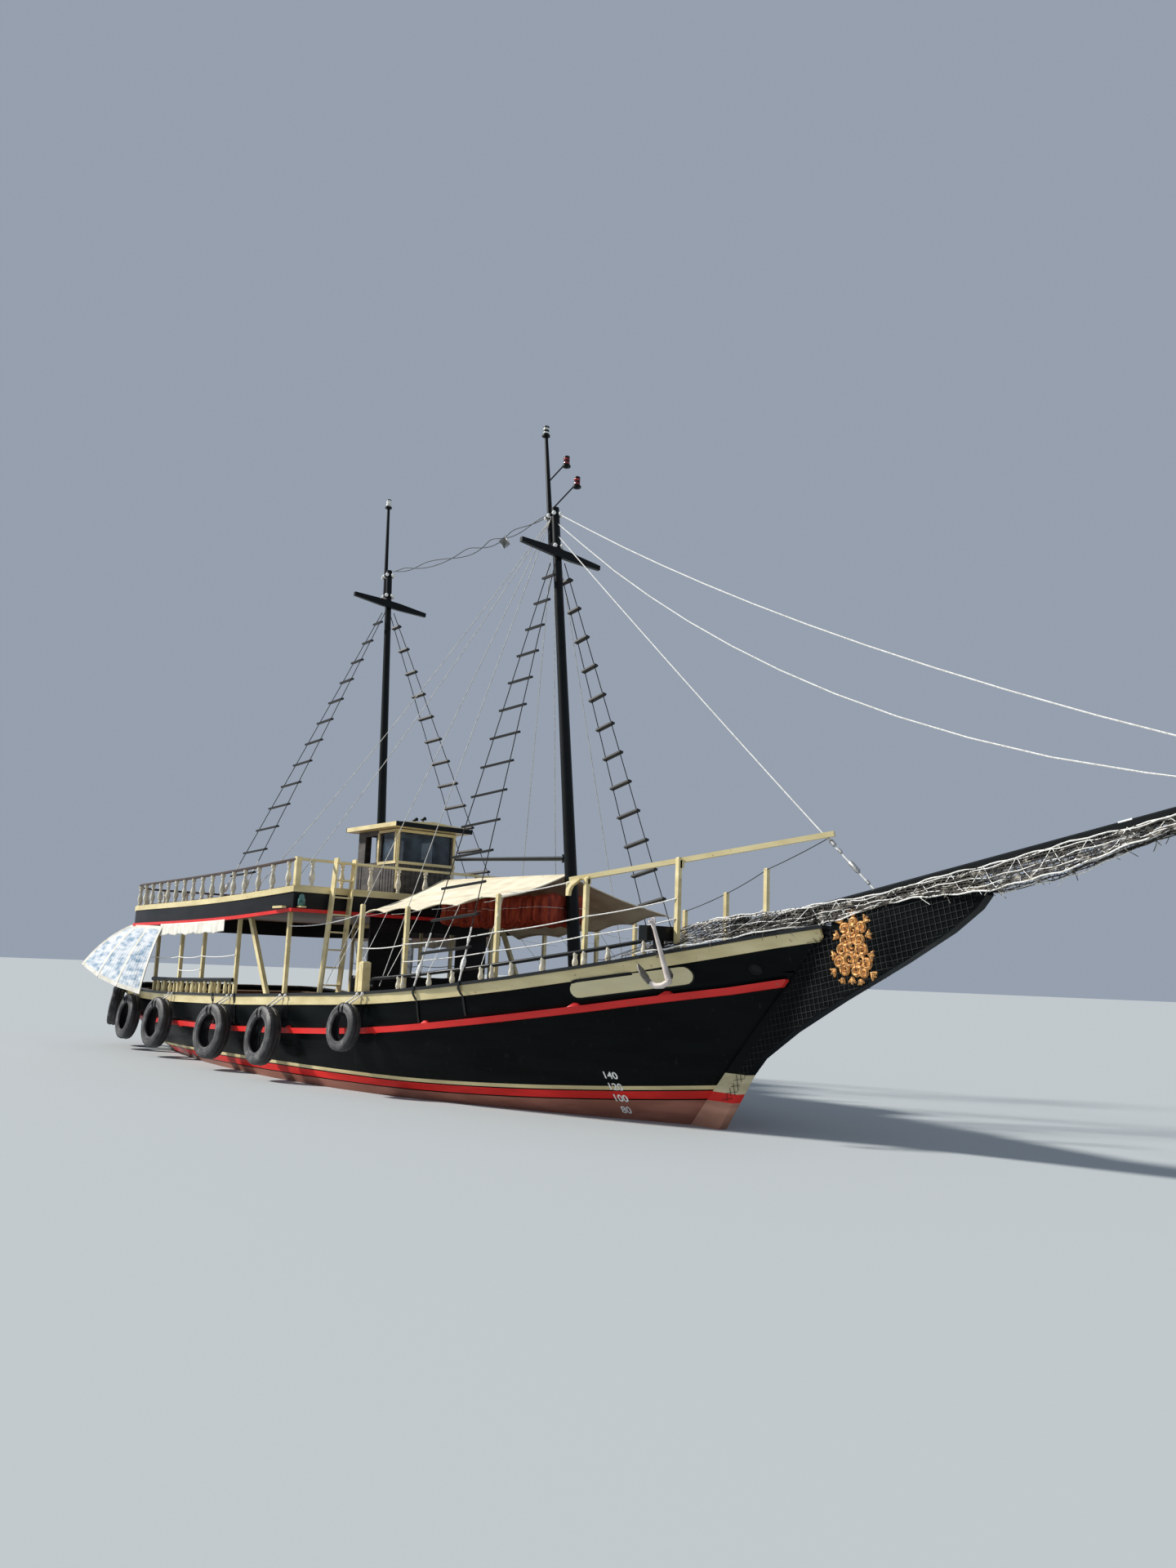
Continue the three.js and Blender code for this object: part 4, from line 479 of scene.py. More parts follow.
# Draft marks
# Plain white figures painted on each bow, one above the other, 20 cm apart.
MARKS = (("80", 0.18), ("100", 0.4), ("120", 0.61), ("140", 0.82))
MARK_X, MARK_TALL, PAINT_OUT = 8.0, 0.125, 0.004
mark_white = mottled("mark_white", 0.5, "rope_white",
                     [(0.35, (0.6, 0.59, 0.55)), (0.55, (0.95, 0.95, 0.92))], 20)
for sign, side in SIDES:
    for text, middle in MARKS:
        z = middle - MARK_TALL / 2
        curve = bpy.data.curves.new("mark", "FONT")
        curve.body, curve.size, curve.offset = text, MARK_TALL * 1.4, 0.004  # offset thickens the strokes
        curve.align_x = "CENTER"
        letters = bpy.data.objects.new("mark", curve)
        bpy.context.scene.collection.objects.link(letters)
        bpy.context.view_layer.update()
        mesh = bpy.data.meshes.new_from_object(letters.evaluated_get(bpy.context.evaluated_depsgraph_get()))
        bpy.data.objects.remove(letters)
        for v in mesh.vertices:
            v.co = on_side(MARK_X - sign * v.co.x, z + v.co.y, sign, PAINT_OUT)
        placed(f"draft_mark_{text}_{side}", mesh, mark_white)

# Chainplates and chocks
# Flat iron straps bolted down the side under each pair of shrouds, and red chocks over the rubbing strake.
CHAINPLATES, STRAP_HALF, STRAP_THICK = (4.39, 5.58, -4.46, -3.15), 0.035, 0.005
CHOCK_AFT, CHOCK_FORE, CHOCK_STEP, CHOCK_LONG, CHOCK_TALL, CHOCK_OUT = -11.6, 10.6, 1.62, 0.26, 0.09, 0.08


def points_of(node):
    """A CAD node's points, as rows of x, y and z."""
    return np.array([v.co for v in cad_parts[node].data.vertices])


def edge_of(node):
    """The outline of a bent timber: its far half breadth and its top, read at each station along it."""
    points = points_of(node)
    stations = [x for x in np.unique(points[:, 0].round(3))
                if np.count_nonzero(abs(points[:, 0] - x) < 0.002) >= 4]
    halves = [abs(points[abs(points[:, 0] - x) < 0.002][:, 1]).max() for x in stations]
    tops = [points[abs(points[:, 0] - x) < 0.002][:, 2].max() for x in stations]
    return (lambda x: float(np.interp(x, stations, halves)),
            lambda x: float(np.interp(x, stations, tops)), stations)


cap_half, cap_top, _ = edge_of("cap_rail_starboard")
_, rub_top, _ = edge_of("rub_rail")
for sign, side in SIDES:
    straps, chocks = Stock(), Stock()
    for x in CHAINPLATES:
        top = cap_top(x)
        path = [(x, sign * (cap_half(x) + 0.006), top + 0.03), (x, sign * (cap_half(x) + 0.008), top - 0.12),
                *[on_side(x, z, sign, 0.012) for z in np.linspace(top - 0.3, rub_top(x) + 0.06, 5)]]
        straps.swept(path, oblong(STRAP_HALF, STRAP_THICK), up=(0, sign, 0))
    straps.made("chainplates_" + side, black_enamel)
    for x in np.arange(CHOCK_AFT, CHOCK_FORE, CHOCK_STEP):
        z = rub_top(x) - 0.02
        rings = []
        for share, rise in ((-0.5, 0), (-0.12, 1), (0.12, 1), (0.5, 0)):
            p, top = on_side(x + share * CHOCK_LONG, z + 0.02, sign), z + rise * CHOCK_TALL
            rings.append([Vector((p.x, p.y + sign * out, height)) for out, height in
                          ((0, z), (0, top), (CHOCK_OUT - 0.02, top - 0.01), (CHOCK_OUT, z))])
        chocks.skin(rings)
    chocks.made("rail_chocks_" + side, red_enamel, angle=25)

# Carving on the cutwater
# A gilded panel of scrolls and leaves, carved in relief and screwed to each side of the cutwater.
gold = mottled("gilding", 0.45, "trim_cream",
               [(0.32, (0.5, 0.19, 0.04)), (0.5, (0.85, 0.42, 0.12)), (0.7, (0.95, 0.6, 0.24))], 16,
               detail=8, metallic=0.1)
gold.bumped(gold.patches(40), 0.3, 0.006)
# Each scroll's eye as x and z from the panel's middle, its outer radius, where its stem leaves and its
# hand, and each leaf's root, its direction and its length
CARVING_AT, CARVING_SCALE = Vector((12.7, 0, 3.24)), 0.66
SCROLLS = (
    (0.0, 0.42, 0.17, 210, 1), (0.26, 0.5, 0.12, 160, -1), (-0.25, 0.47, 0.12, 20, 1),
    (0.02, 0.64, 0.1, 270, -1), (0.2, 0.2, 0.16, 120, 1), (-0.22, 0.2, 0.17, 60, -1),
    (0.0, 0.02, 0.19, 90, 1), (0.3, -0.05, 0.15, 200, -1), (-0.32, -0.06, 0.16, 330, 1),
    (-0.1, -0.28, 0.2, 60, -1), (0.22, -0.32, 0.19, 140, 1), (-0.4, -0.36, 0.14, 20, 1),
    (0.44, -0.4, 0.13, 160, -1), (-0.22, -0.54, 0.14, 80, 1), (0.12, -0.56, 0.14, 100, -1),
    (0.36, -0.6, 0.11, 120, 1),
)
LEAVES = (
    (0.0, 0.75, 95, 0.22), (0.34, 0.62, 50, 0.2), (-0.33, 0.6, 130, 0.2), (0.4, 0.28, 20, 0.2),
    (-0.42, 0.26, 160, 0.2), (0.48, -0.16, -10, 0.2), (-0.5, -0.18, 190, 0.18), (-0.5, -0.55, 215, 0.2),
    (0.56, -0.6, -35, 0.2), (0.0, -0.72, -92, 0.18), (0.24, -0.76, -75, 0.16), (-0.28, -0.74, -110, 0.16),
    (0.1, 0.14, 40, 0.16), (-0.08, 0.3, 130, 0.14), (0.05, -0.14, -60, 0.16),
)
RELIEF, FULL_WIDTH = 0.04, 0.034
SCROLL_TURNS, SCROLL_STEPS, LEAF_STEPS, LEAF_SPREAD = 1.68, 25, 7, 0.5


def relief(stock, line, widths, sign, face):
    """A carved strip with a raised middle, along a line of (x, z) on the cutwater's face."""
    points = [Vector((x, 0, z)) for x, z in line]
    rings = []
    for i, p in enumerate(points):
        ahead = (points[min(i + 1, len(points) - 1)] - points[max(i - 1, 0)]).normalized()
        across = Vector((-ahead.z, 0, ahead.x)) * widths[i]
        low = Vector((0, face, 0))
        high = Vector((0, face + sign * RELIEF * (0.35 + 0.65 * widths[i] / FULL_WIDTH), 0))
        rings.append([p - across + low, p - across * 0.55 + high * 0.8 + low * 0.2, p + high,
                      p + across * 0.55 + high * 0.8 + low * 0.2, p + across + low])
    stock.skin(rings)


cut_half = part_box("cutwater")[1].y
for sign, side in SIDES:
    panel = Stock()
    face = sign * cut_half
    for dx, dz, radius, start, hand in SCROLLS:
        eye = CARVING_AT + Vector((dx, 0, dz)) * CARVING_SCALE
        line, widths = [], []
        for share in np.linspace(0, 1, SCROLL_STEPS + 1):
            angle = math.radians(start) + hand * share * SCROLL_TURNS * 2 * math.pi
            r = CARVING_SCALE * radius * (1 - share) ** 0.8 + 0.008
            line.append((eye.x + r * math.cos(angle), eye.z + r * math.sin(angle)))
            widths.append(0.011 + 0.021 * math.sin(math.pi * min(share * 0.8 + 0.2, 1)))
        relief(panel, line, widths, sign, face)
    for dx, dz, turn, long in LEAVES:
        root = CARVING_AT + Vector((dx, 0, dz)) * CARVING_SCALE
        for spread in (-LEAF_SPREAD, 0, LEAF_SPREAD):
            line, widths = [], []
            for share in np.linspace(0, 1, LEAF_STEPS + 1):
                bend = math.radians(turn) + spread * (0.4 + share)
                reach = CARVING_SCALE * long * share
                line.append((root.x + reach * math.cos(bend), root.z + reach * math.sin(bend)))
                widths.append(0.005 + 0.026 * math.sin(math.pi * (0.12 + 0.83 * share)))
            relief(panel, line, widths, sign, face)
    panel.made("bow_carving_" + side, gold, angle=50)

# Net over the cutwater
# A black safety net drawn tight over the cutwater and the flare of the bow, laced under the bowsprit.
NET_MESH, NET_CORD, NET_LINES, NET_SLOPES = 0.1, 0.0045, 40, (math.radians(12), math.radians(102))
OVER_CARVING, OVER_PLANKS, CARVING_REACH = 0.05, 0.012, 0.8
NET_AT, NET_REACH, NET_STEP = (12.4, 2.4), 4.2, 0.07
NET_REGION = ((9.72, 0.42), (10.55, 1.55), (11.35, 2.62), (11.9, 3.38), (13.0, 3.86), (15.05, 4.12),
              (14.95, 3.7), (13.6, 2.55), (12.2, 1.75), (11.0, 1.12), (10.2, 0.62))
tarred = mottled("tarred_cord", 0.75, "rope_dark",
                 [(0.35, (0.004, 0.004, 0.005)), (0.65, (0.018, 0.018, 0.018))], 8)


def within(region, x, z):
    """Whether a point is inside a closed outline of (x, z) corners."""
    inside = False
    for (x0, z0), (x1, z1) in zip(region, region[1:] + region[:1]):
        if (z0 > z) != (z1 > z) and x < x0 + (z - z0) / (z1 - z0) * (x1 - x0):
            inside = not inside
    return inside


for sign, side in SIDES:
    net = Stock()
    for slope in NET_SLOPES:
        along, across = (math.cos(slope), math.sin(slope)), (-math.sin(slope), math.cos(slope))
        for k in range(-NET_LINES, NET_LINES + 1):
            run = []
            for s in np.arange(-NET_REACH, NET_REACH, NET_STEP):
                x, z = (NET_AT[i] + along[i] * s + across[i] * k * NET_MESH for i in (0, 1))
                near = math.hypot(x - CARVING_AT.x, z - CARVING_AT.z) < CARVING_REACH
                out = OVER_CARVING if near else OVER_PLANKS
                point = on_side(x, z, sign, out) if within(NET_REGION, x, z) else None
                if point is not None:
                    run.append(point)
                    continue
                if len(run) > 1:
                    net.rope(run, NET_CORD, 4)
                run = []
            if len(run) > 1:
                net.rope(run, NET_CORD, 4)
    net.made("bow_net_cover_" + side, tarred)

# Upper deck rail
# A dark rail along the sides of the upper deck and a cream one across its front, on turned balusters in
# weathered cream, with thick corner posts.
edge_half, edge_top, edge_stations = edge_of("deck_edge_band")
RAIL_RISE, RAIL_WIDE, RAIL_DEEP, RAIL_INSET = 0.66, 0.085, 0.06, 0.075
BALUSTER_STEP, CORNER_SIZE, CORNER_LONG, CORNER_X = 0.7, 0.13, 0.72, -0.36
BAND_PROUD, SHOE = 0.025, 0.012
# Share of the height and radius down a turned baluster
BALUSTER = ((0, 0.056), (0.1, 0.056), (0.105, 0.038), (0.14, 0.034), (0.16, 0.056), (0.19, 0.04),
            (0.24, 0.05), (0.36, 0.074), (0.48, 0.062), (0.62, 0.042), (0.74, 0.032), (0.78, 0.052),
            (0.82, 0.032), (0.86, 0.036), (0.88, 0.056), (1, 0.056))
rail_varnish = enamel("rail_varnish", (0.028, 0.014, 0.01), (0.075, 0.045, 0.032), 0.45, "spar_black")
weathered_cream = enamel("weathered_cream", (0.5, 0.45, 0.34), (0.82, 0.76, 0.6), 0.6, "trim_cream", 5)
deck_line = [(x, edge_half(x) - BAND_PROUD - RAIL_INSET) for x in edge_stations
             if edge_stations[0] + BAND_PROUD < x < CORNER_X - 0.3]
deck_line[0] = (deck_line[0][0] + RAIL_INSET, deck_line[0][1])
deck_line.append((CORNER_X, edge_half(CORNER_X) - BAND_PROUD - RAIL_INSET))
side_line = [(deck_line[0][0], 0.0), *deck_line]
front_line = [deck_line[-1], (CORNER_X, 0.0)]


def upward(rise):
    return Vector((0, 0, rise))


def spaced_along(line, step):
    """Points about a step apart along a line of (x, y), half a step from each end."""
    line = [Vector((x, y)) for x, y in line]
    lengths = [(b - a).length for a, b in zip(line, line[1:])]
    count = round(sum(lengths) / step)
    found = []
    for k in range(count):
        run, i = sum(lengths) * (k + 0.5) / count, 0
        while run > lengths[i]:
            run -= lengths[i]
            i += 1
        found.append(line[i].lerp(line[i + 1], run / lengths[i]))
    return found


for sign, side in SIDES:
    balusters, rail, front_rail = Stock(), Stock(), Stock()
    for p in spaced_along(side_line, BALUSTER_STEP) + spaced_along(front_line, BALUSTER_STEP):
        foot = Vector((p.x, sign * p.y, edge_top(p.x)))
        balusters.turned(foot - upward(0.02), foot + upward(RAIL_RISE - RAIL_DEEP), BALUSTER)
    corner_x, corner_y = CORNER_X - 0.02, sign * (deck_line[-1][1] - 0.02)
    corner = Vector((corner_x, corner_y, edge_top(corner_x) + RAIL_RISE))
    foot, head = corner - upward(CORNER_LONG), corner + upward(0.02)
    front_rail.bar(foot, head, CORNER_SIZE, CORNER_SIZE, up=(1, 0, 0))
    w, d = RAIL_WIDE / 2, RAIL_DEEP / 2
    section = [(-w, -d), (w, -d), (w, d * 0.5), (w * 0.6, d), (-w * 0.6, d), (-w, d * 0.5)]
    for stock, line in ((rail, side_line), (front_rail, front_line)):
        for rise, outline in ((RAIL_RISE - d, section), (SHOE, oblong(w, SHOE))):
            stock.swept([(x, sign * y, edge_top(x) + rise) for x, y in line], outline, up=(0, 0, 1))
    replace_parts(balusters.made("upper_balusters_" + side, weathered_cream, angle=50), "upper_rail_" + side)
    rail.made("upper_rail_cap_" + side, rail_varnish, angle=30)
    front_rail.made("upper_front_rail_" + side, cream_enamel, angle=30)

# Sidelights
# A glass jar lamp on the fore end of each fascia, over a small cream board.
LAMP_X, LAMP_Z, LAMP_TALL, LAMP_R = -0.22, 3.94, 0.28, 0.09
SHELF_AFT, SHELF_FORE = -0.94, -0.42
# Share of the height and radius up the jar
JAR = ((0, 0.8), (0.12, 1), (0.55, 1), (0.75, 0.7), (0.86, 0.73), (1, 0.35))
for (sign, side), tint in zip(SIDES, ((0.02, 0.09, 0.075), (0.12, 0.01, 0.01))):
    lit = tuple(min(1, c * 2 + 0.08) for c in tint)
    lamp_glass = mottled("lamp_glass_" + side, 0.12, "window_glass", [(0.3, tint), (0.7, lit)], 9)
    y, edge = sign * (edge_half(CORNER_X) - 0.2), sign * (edge_half(SHELF_AFT) + 0.06)
    lamp, shelf = Stock(), Stock()
    foot = Vector((LAMP_X, y, LAMP_Z))
    lamp.turned(foot, foot + upward(LAMP_TALL), [(share, LAMP_R * r) for share, r in JAR], 14)
    lamp.made("sidelight_" + side, lamp_glass)
    shelf.bar((SHELF_AFT, edge, LAMP_Z - 0.03), (SHELF_FORE, edge, LAMP_Z - 0.03), 0.1, 0.05)
    shelf.bar((LAMP_X - 0.16, y, LAMP_Z - 0.015), (LAMP_X + 0.12, y, LAMP_Z - 0.015), 0.14, 0.03)
    shelf.made("sidelight_shelf_" + side, cream_enamel, angle=30)

# Stern hand rail
# Low turned balusters under the black hand rail between the deck posts aft, with a white life line over it.
STERN_RAIL_RISE, STERN_RAIL_R, STERN_PEG_STEP, STERN_LINE_R, POST_INSET = 0.36, 0.056, 0.48, 0.013, 0.075
DECK_POSTS = (-11.44, -9.43, -7.325, -5.62, -3.45, -0.77)
# Share of the height and radius of the small turned pegs under the hand rails
PEG = ((0, 0.042), (0.1, 0.042), (0.2, 0.058), (0.42, 0.053), (0.6, 0.037), (0.74, 0.037), (0.84, 0.046),
       (1, 0.04))
rope_white = mottled("white_rope", 0.8, "rope_white",
                     [(0.35, (0.62, 0.6, 0.54)), (0.6, (0.92, 0.91, 0.87))], 25, detail=8)


def rail_point(x, sign, rise, inset):
    """A point over the cap rail, in from its outer edge."""
    return Vector((x, sign * (cap_half(x) - inset), cap_top(x) + rise))


def slack(start, end, drop, steps=10):
    """A line between two points that hangs a little."""
    start, end = Vector(start), Vector(end)
    return [start.lerp(end, k / steps) - upward(4 * drop * (k / steps) * (1 - k / steps))
            for k in range(steps + 1)]


for sign, side in SIDES:
    low_rail, pegs, line = Stock(), Stock(), Stock()
    rail_posts = [rail_point(x, sign, 0, POST_INSET) for x in DECK_POSTS[1:5]]
    lift = upward(STERN_RAIL_RISE - 0.03)
    for a, b in zip(rail_posts, rail_posts[1:]):
        low_rail.rope([a + lift, b + lift], STERN_RAIL_R, 12)
        count = round((b.x - a.x) / STERN_PEG_STEP)
        for k in range(1, count):
            foot = a.lerp(b, k / count)
            pegs.turned(foot, foot + lift, PEG)
    for rise, posts in ((0.95, DECK_POSTS[:5]), (0.6, DECK_POSTS[2:4])):
        for a, b in zip(posts, posts[1:]):
            a, b = (rail_point(x, sign, rise, POST_INSET) for x in (a, b))
            line.rope(slack(a, b, 0.04), STERN_LINE_R, 5)
    low_rail.made("stern_hand_rail_" + side, black_enamel)
    pegs.made("stern_balusters_" + side, cream_enamel)
    line.made("stern_life_lines_" + side, rope_white)

# Wheelhouse
# A small house of vertical boards on the upper deck, with cream window frames, glazed at the front and on
# the fore half of each side, and a cambered cream roof edged in black.
house_low, house_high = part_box("wheelhouse")
roof_low, roof_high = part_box("wheelhouse_roof")
SILL, HEAD, PANE_AFT, MULLION_X, MULLION_Y = 5.29, 6.05, -1.97, -1.1, 0.83
SILL_DROP, HEAD_RISE, FRAME_THICK, FRAME_WIDE = 0.03, 0.02, 0.03, 0.07
DOORWAY, HOUSE_BOARD, BOARD_PROUD, BOARD_STEP = (-2.84, -1.96), 0.1, 0.012, 0.145
ROOF_EDGE_HALF, ROOF_EDGE_TALL = 1.13, 0.12
SIDE_BOARDS_FOOT, FRONT_BOARDS_FOOT, FRONT_BOARDS_HALF, BOARDS_HEAD = 4.3, 4.42, 0.79, SILL - 0.07
house_boards = enamel("house_boards", (0.03, 0.028, 0.026), (0.09, 0.08, 0.07), 0.6, "board_black", 6)
dressed(["wheelhouse", "wheelhouse_door_starboard", "wheelhouse_door_port"], house_boards, 30)
frames, boards, roof_trim = Stock(), Stock(), Stock()
front, ahead = house_high.x, (1, 0, 0)
levels = (SILL - SILL_DROP, HEAD + HEAD_RISE)
for sign in (-1, 1):
    wall = sign * house_high.y
    frame_y, corner_y, board_y = wall + sign * 0.012, sign * (house_high.y - 0.03), wall + sign * 0.006
    for z in levels:
        frames.bar((PANE_AFT, frame_y, z), (front + 0.02, frame_y, z), FRAME_THICK, FRAME_WIDE)
    for x in (PANE_AFT, MULLION_X):
        frames.bar((x, frame_y, SILL), (x, frame_y, HEAD), FRAME_THICK, 0.075, up=ahead)
    frames.bar((front + 0.01, corner_y, SILL - 0.7), (front + 0.01, corner_y, HEAD + 0.05), 0.06, 0.04,
               up=ahead)
    for x in np.arange(house_low.x + 0.06, front - 0.02, BOARD_STEP):
        if not DOORWAY[0] < x < DOORWAY[1]:
            foot, head = (x, board_y, SIDE_BOARDS_FOOT), (x, board_y, BOARDS_HEAD)
            boards.bar(foot, head, BOARD_PROUD, HOUSE_BOARD, up=ahead)
for z in levels:
    frames.bar((front + 0.012, -house_high.y, z), (front + 0.012, house_high.y, z), FRAME_THICK, FRAME_WIDE)
for y in (-MULLION_Y, MULLION_Y):
    frames.bar((front + 0.012, y, SILL), (front + 0.012, y, HEAD), FRAME_WIDE, FRAME_THICK, up=ahead)
for y in np.arange(-FRONT_BOARDS_HALF, FRONT_BOARDS_HALF, BOARD_STEP):
    foot, head = (front + 0.006, y, FRONT_BOARDS_FOOT), (front + 0.006, y, BOARDS_HEAD)
    boards.bar(foot, head, HOUSE_BOARD, BOARD_PROUD, up=ahead)
for x in (roof_low.x - 0.012, roof_high.x + 0.012):
    z = roof_low.z + 0.055
    roof_trim.bar((x, -ROOF_EDGE_HALF, z), (x, ROOF_EDGE_HALF, z), 0.03, ROOF_EDGE_TALL)
frames.made("wheelhouse_frames", cream_enamel, angle=30)
boards.made("wheelhouse_boards", house_boards, angle=30)
roof_trim.made("wheelhouse_roof_edge", black_enamel, angle=30, slot="board_black")

# Glass tinted dark as painted shade of the house behind it, faintly blue as a painted sky reflection, and
# glossy so that it also mirrors the sky
# painted shade and painted sky reflection in the glass's colour
shaded_pane = mottled("window_pane", 0.05, None,
               [(0.4, (0.012, 0.018, 0.024)), (0.7, (0.07, 0.11, 0.15))], 3, detail=6)
shaded_pane.into(shaded_pane.shader["Alpha"], 0.68)
shaded_pane.into(shaded_pane.shader["IOR"], 1.5)
dressed(["wheelhouse_glass"], shaded_pane, 30)

# Horns on the roof
# A pair of small black trumpets on short feet.
HORN_X, HORNS_Y, HORN_LONG, ROOF_CAMBER = -0.98, (-0.42, -0.18), 0.16, 0.2
horns = Stock()
for y in HORNS_Y:
    foot = Vector((HORN_X, y, roof_high.z - ROOF_CAMBER * abs(y) / ROOF_EDGE_HALF))
    horns.rope([foot - upward(0.06), foot + upward(0.09)], 0.018)
    mouth = foot + Vector((-0.08, 0, 0.11))
    horns.turned(mouth, mouth + Vector((HORN_LONG, 0, 0.01)),
                 ((0, 0.03), (0.4, 0.03), (0.55, 0.015), (0.85, 0.03), (1, 0.05)))
horns.made("roof_horns", black_enamel)

# Helm
# A varnished hardwood wheel with eight spokes and handles, on a black console.
HELM_AT, HELM_R, HELM_RIM, HELM_SPOKES = Vector((-1.78, 0, 5.26)), 0.33, 0.27, 8
HUB = ((0, 0.03), (0.2, 0.045), (1, 0.045))
SPOKE = ((0, 0.014), (0.3, 0.017), (0.5, 0.011), (0.72, 0.014), (0.86, 0.011), (0.95, 0.018), (1, 0.008))
wheel_wood = mottled("wheel_wood", 0.35, "deck_wood",
                     [(0.3, (0.13, 0.05, 0.02)), (0.7, (0.34, 0.16, 0.07))], 20, (1, 1, 6), 8)
helm = Stock()
helm.rope(hoop(HELM_AT, Vector((0, HELM_RIM, 0)), upward(HELM_RIM), 40), 0.021, 8, closed=True)
helm.turned(HELM_AT - Vector((0.04, 0, 0)), HELM_AT + Vector((0.045, 0, 0)), HUB, 16)
for k in range(HELM_SPOKES):
    turn = 2 * math.pi * k / HELM_SPOKES
    out = Vector((0, math.cos(turn), math.sin(turn)))
    helm.turned(HELM_AT + out * 0.03, HELM_AT + out * HELM_R, SPOKE, 8)
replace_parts(helm.made("helm_spokes_and_rim", wheel_wood, "helm"), "helm_wheel")

# Stanchions and life lines
# Square cream posts inside the bulwark, with two white ropes through them. The two foremost starboard ones
# carry the long beam over the bow, and a tarred guard line runs to its tip over the port ones.
STANCHIONS = ((1.96, 3.31, 3.97), (3.6, 3.145, 3.9), (5.98, 2.52, 4.14), (7.89, 1.86, 4.43),
              (9.64, 1.16, 4.79))
STANCHION_SIZE, BEAM_SIZE = 0.085, 0.09
BEAM_AFT, BEAM_TIP = Vector((7.5, -1.95, 4.4)), Vector((12.23, 0, 5.16))
LIFE_LINE_R, LIFE_LINE_RISES, LIFE_LINE_OUT, GUARD_LINE_R = 0.012, (0.57, 0.93), 0.045, 0.009


def squared(size, share):
    """A square section that draws in at the head of a post."""
    half = size / 2 * (0.55 if share == 1 else 1)
    return oblong(half, half)


def life_line(stock, start, end, drop):
    stock.rope(slack(start, end, drop), LIFE_LINE_R, 5)


for sign, side in SIDES:
    posts, lines = Stock(), Stock()
    cad_posts = points_of("stanchions_" + side)
    for x, y, head in STANCHIONS:
        foot = cad_posts[abs(cad_posts[:, 0] - x) < STANCHION_SIZE][:, 2].min()
        posts.swept([(x, sign * y, z) for z in (foot, head - 0.02, head)],
                    lambda share: squared(STANCHION_SIZE, share), up=(1, 0, 0))
    for rise in LIFE_LINE_RISES:
        ends = [(x, sign * (y + LIFE_LINE_OUT), cap_top(x) + rise) for x, y, _ in STANCHIONS[1:]]
        for start, end in zip(ends, ends[1:]):
            life_line(lines, start, end, 0.03)
    (xa, ya, _), (xb, yb, _) = STANCHIONS[:2]
    life_line(lines, (xa, sign * ya, cap_top(xa) + 0.95), (xb, sign * yb, cap_top(xb) + 0.93), 0.04)
    if side == "starboard":
        posts.bar(BEAM_AFT, BEAM_TIP, BEAM_SIZE, BEAM_SIZE)
        for x, y, _ in STANCHIONS[3:]:
            over = BEAM_AFT.lerp(BEAM_TIP, (x - BEAM_AFT.x) / (BEAM_TIP.x - BEAM_AFT.x)) - upward(0.08)
            posts.bar((x, -y, over.z), (x, over.y, over.z), STANCHION_SIZE, 0.14)
        life_line(lines, BEAM_AFT + Vector((0.12, 0, -0.03)), (5.99, -2.5, 4.1), 0.02)
        life_line(lines, (1.3, -2.9, 3.82), rail_point(-0.77, sign, 1.55, 0.1), 0.1)
    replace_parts(posts.made("stanchion_posts_" + side, cream_enamel, angle=30), "stanchions_" + side)
    if side == "port":
        guard = Stock()
        heads = [*STANCHIONS[2:], BEAM_TIP - Vector((0.03, 0, 0))]
        for start, end in zip(heads, heads[1:]):
            guard.rope(slack(Vector(start) - upward(0.03), Vector(end) - upward(0.03), 0.02), GUARD_LINE_R, 5)
        guard.made("guard_line_port", tarred)
    lines.made("life_lines_" + side, rope_white)

# Corbel under the long beam
# A curved cream bracket, sawn from one plank, that hangs under the beam's after end.
CORBEL = ((7.42, 4.36), (7.42, 4.1), (7.5, 4.1), (7.52, 4.2), (7.58, 4.28), (7.7, 4.33), (7.84, 4.41))
CORBEL_FACES = (-1.985, -1.915)
corbel = Stock()
corbel.skin([[Vector((x, y, z)) for x, z in CORBEL] for y in CORBEL_FACES])
corbel.made("beam_corbel", cream_enamel, angle=30)

# Hand rail forward
# A round black rail on small turned pegs along the fore part of each cap rail, its after end curled down to
# a cream bitt.
HAND_RAIL_RISE, HAND_RAIL_R, HAND_RAIL_INSET = 0.26, 0.038, 0.135
HAND_PEGS = (3.75, 3.89, 4.66, 5.26, 5.95, 6.2, 6.64, 7.26, 7.9, 8.07, 8.52, 9.17)
BITT_X, BITT_INSET, BITT_SIZE, BITT_RISE = 2.3, 0.3, 0.19, 0.72
# x and rise of the curl at the rail's after end
CURL = ((2.9, 0.1), (2.84, 0.14), (2.83, 0.2), (2.88, 0.25), (2.98, HAND_RAIL_RISE))
for sign, side in SIDES:
    rail, pegs, bitt = Stock(), Stock(), Stock()
    line = [*CURL, *((x, HAND_RAIL_RISE) for x in np.linspace(3.2, 9.3, 18))]
    rail.rope([rail_point(x, sign, rise, HAND_RAIL_INSET) for x, rise in line], HAND_RAIL_R, 10)
    for x in HAND_PEGS:
        foot = rail_point(x, sign, 0, HAND_RAIL_INSET)
        pegs.turned(foot, foot + upward(HAND_RAIL_RISE), PEG)
    foot = rail_point(BITT_X, sign, -0.1, BITT_INSET)
    bitt.swept([foot, foot + upward(BITT_RISE), foot + upward(BITT_RISE + 0.03)],
               lambda share: squared(BITT_SIZE, share), up=(1, 0, 0))
    bitt.made("bitt_" + side, cream_enamel, angle=30)
    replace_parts(rail.made("hand_rail_bar_" + side, black_enamel), "hand_rail_" + side)
    pegs.made("hand_rail_pegs_" + side, weathered_cream, angle=50)

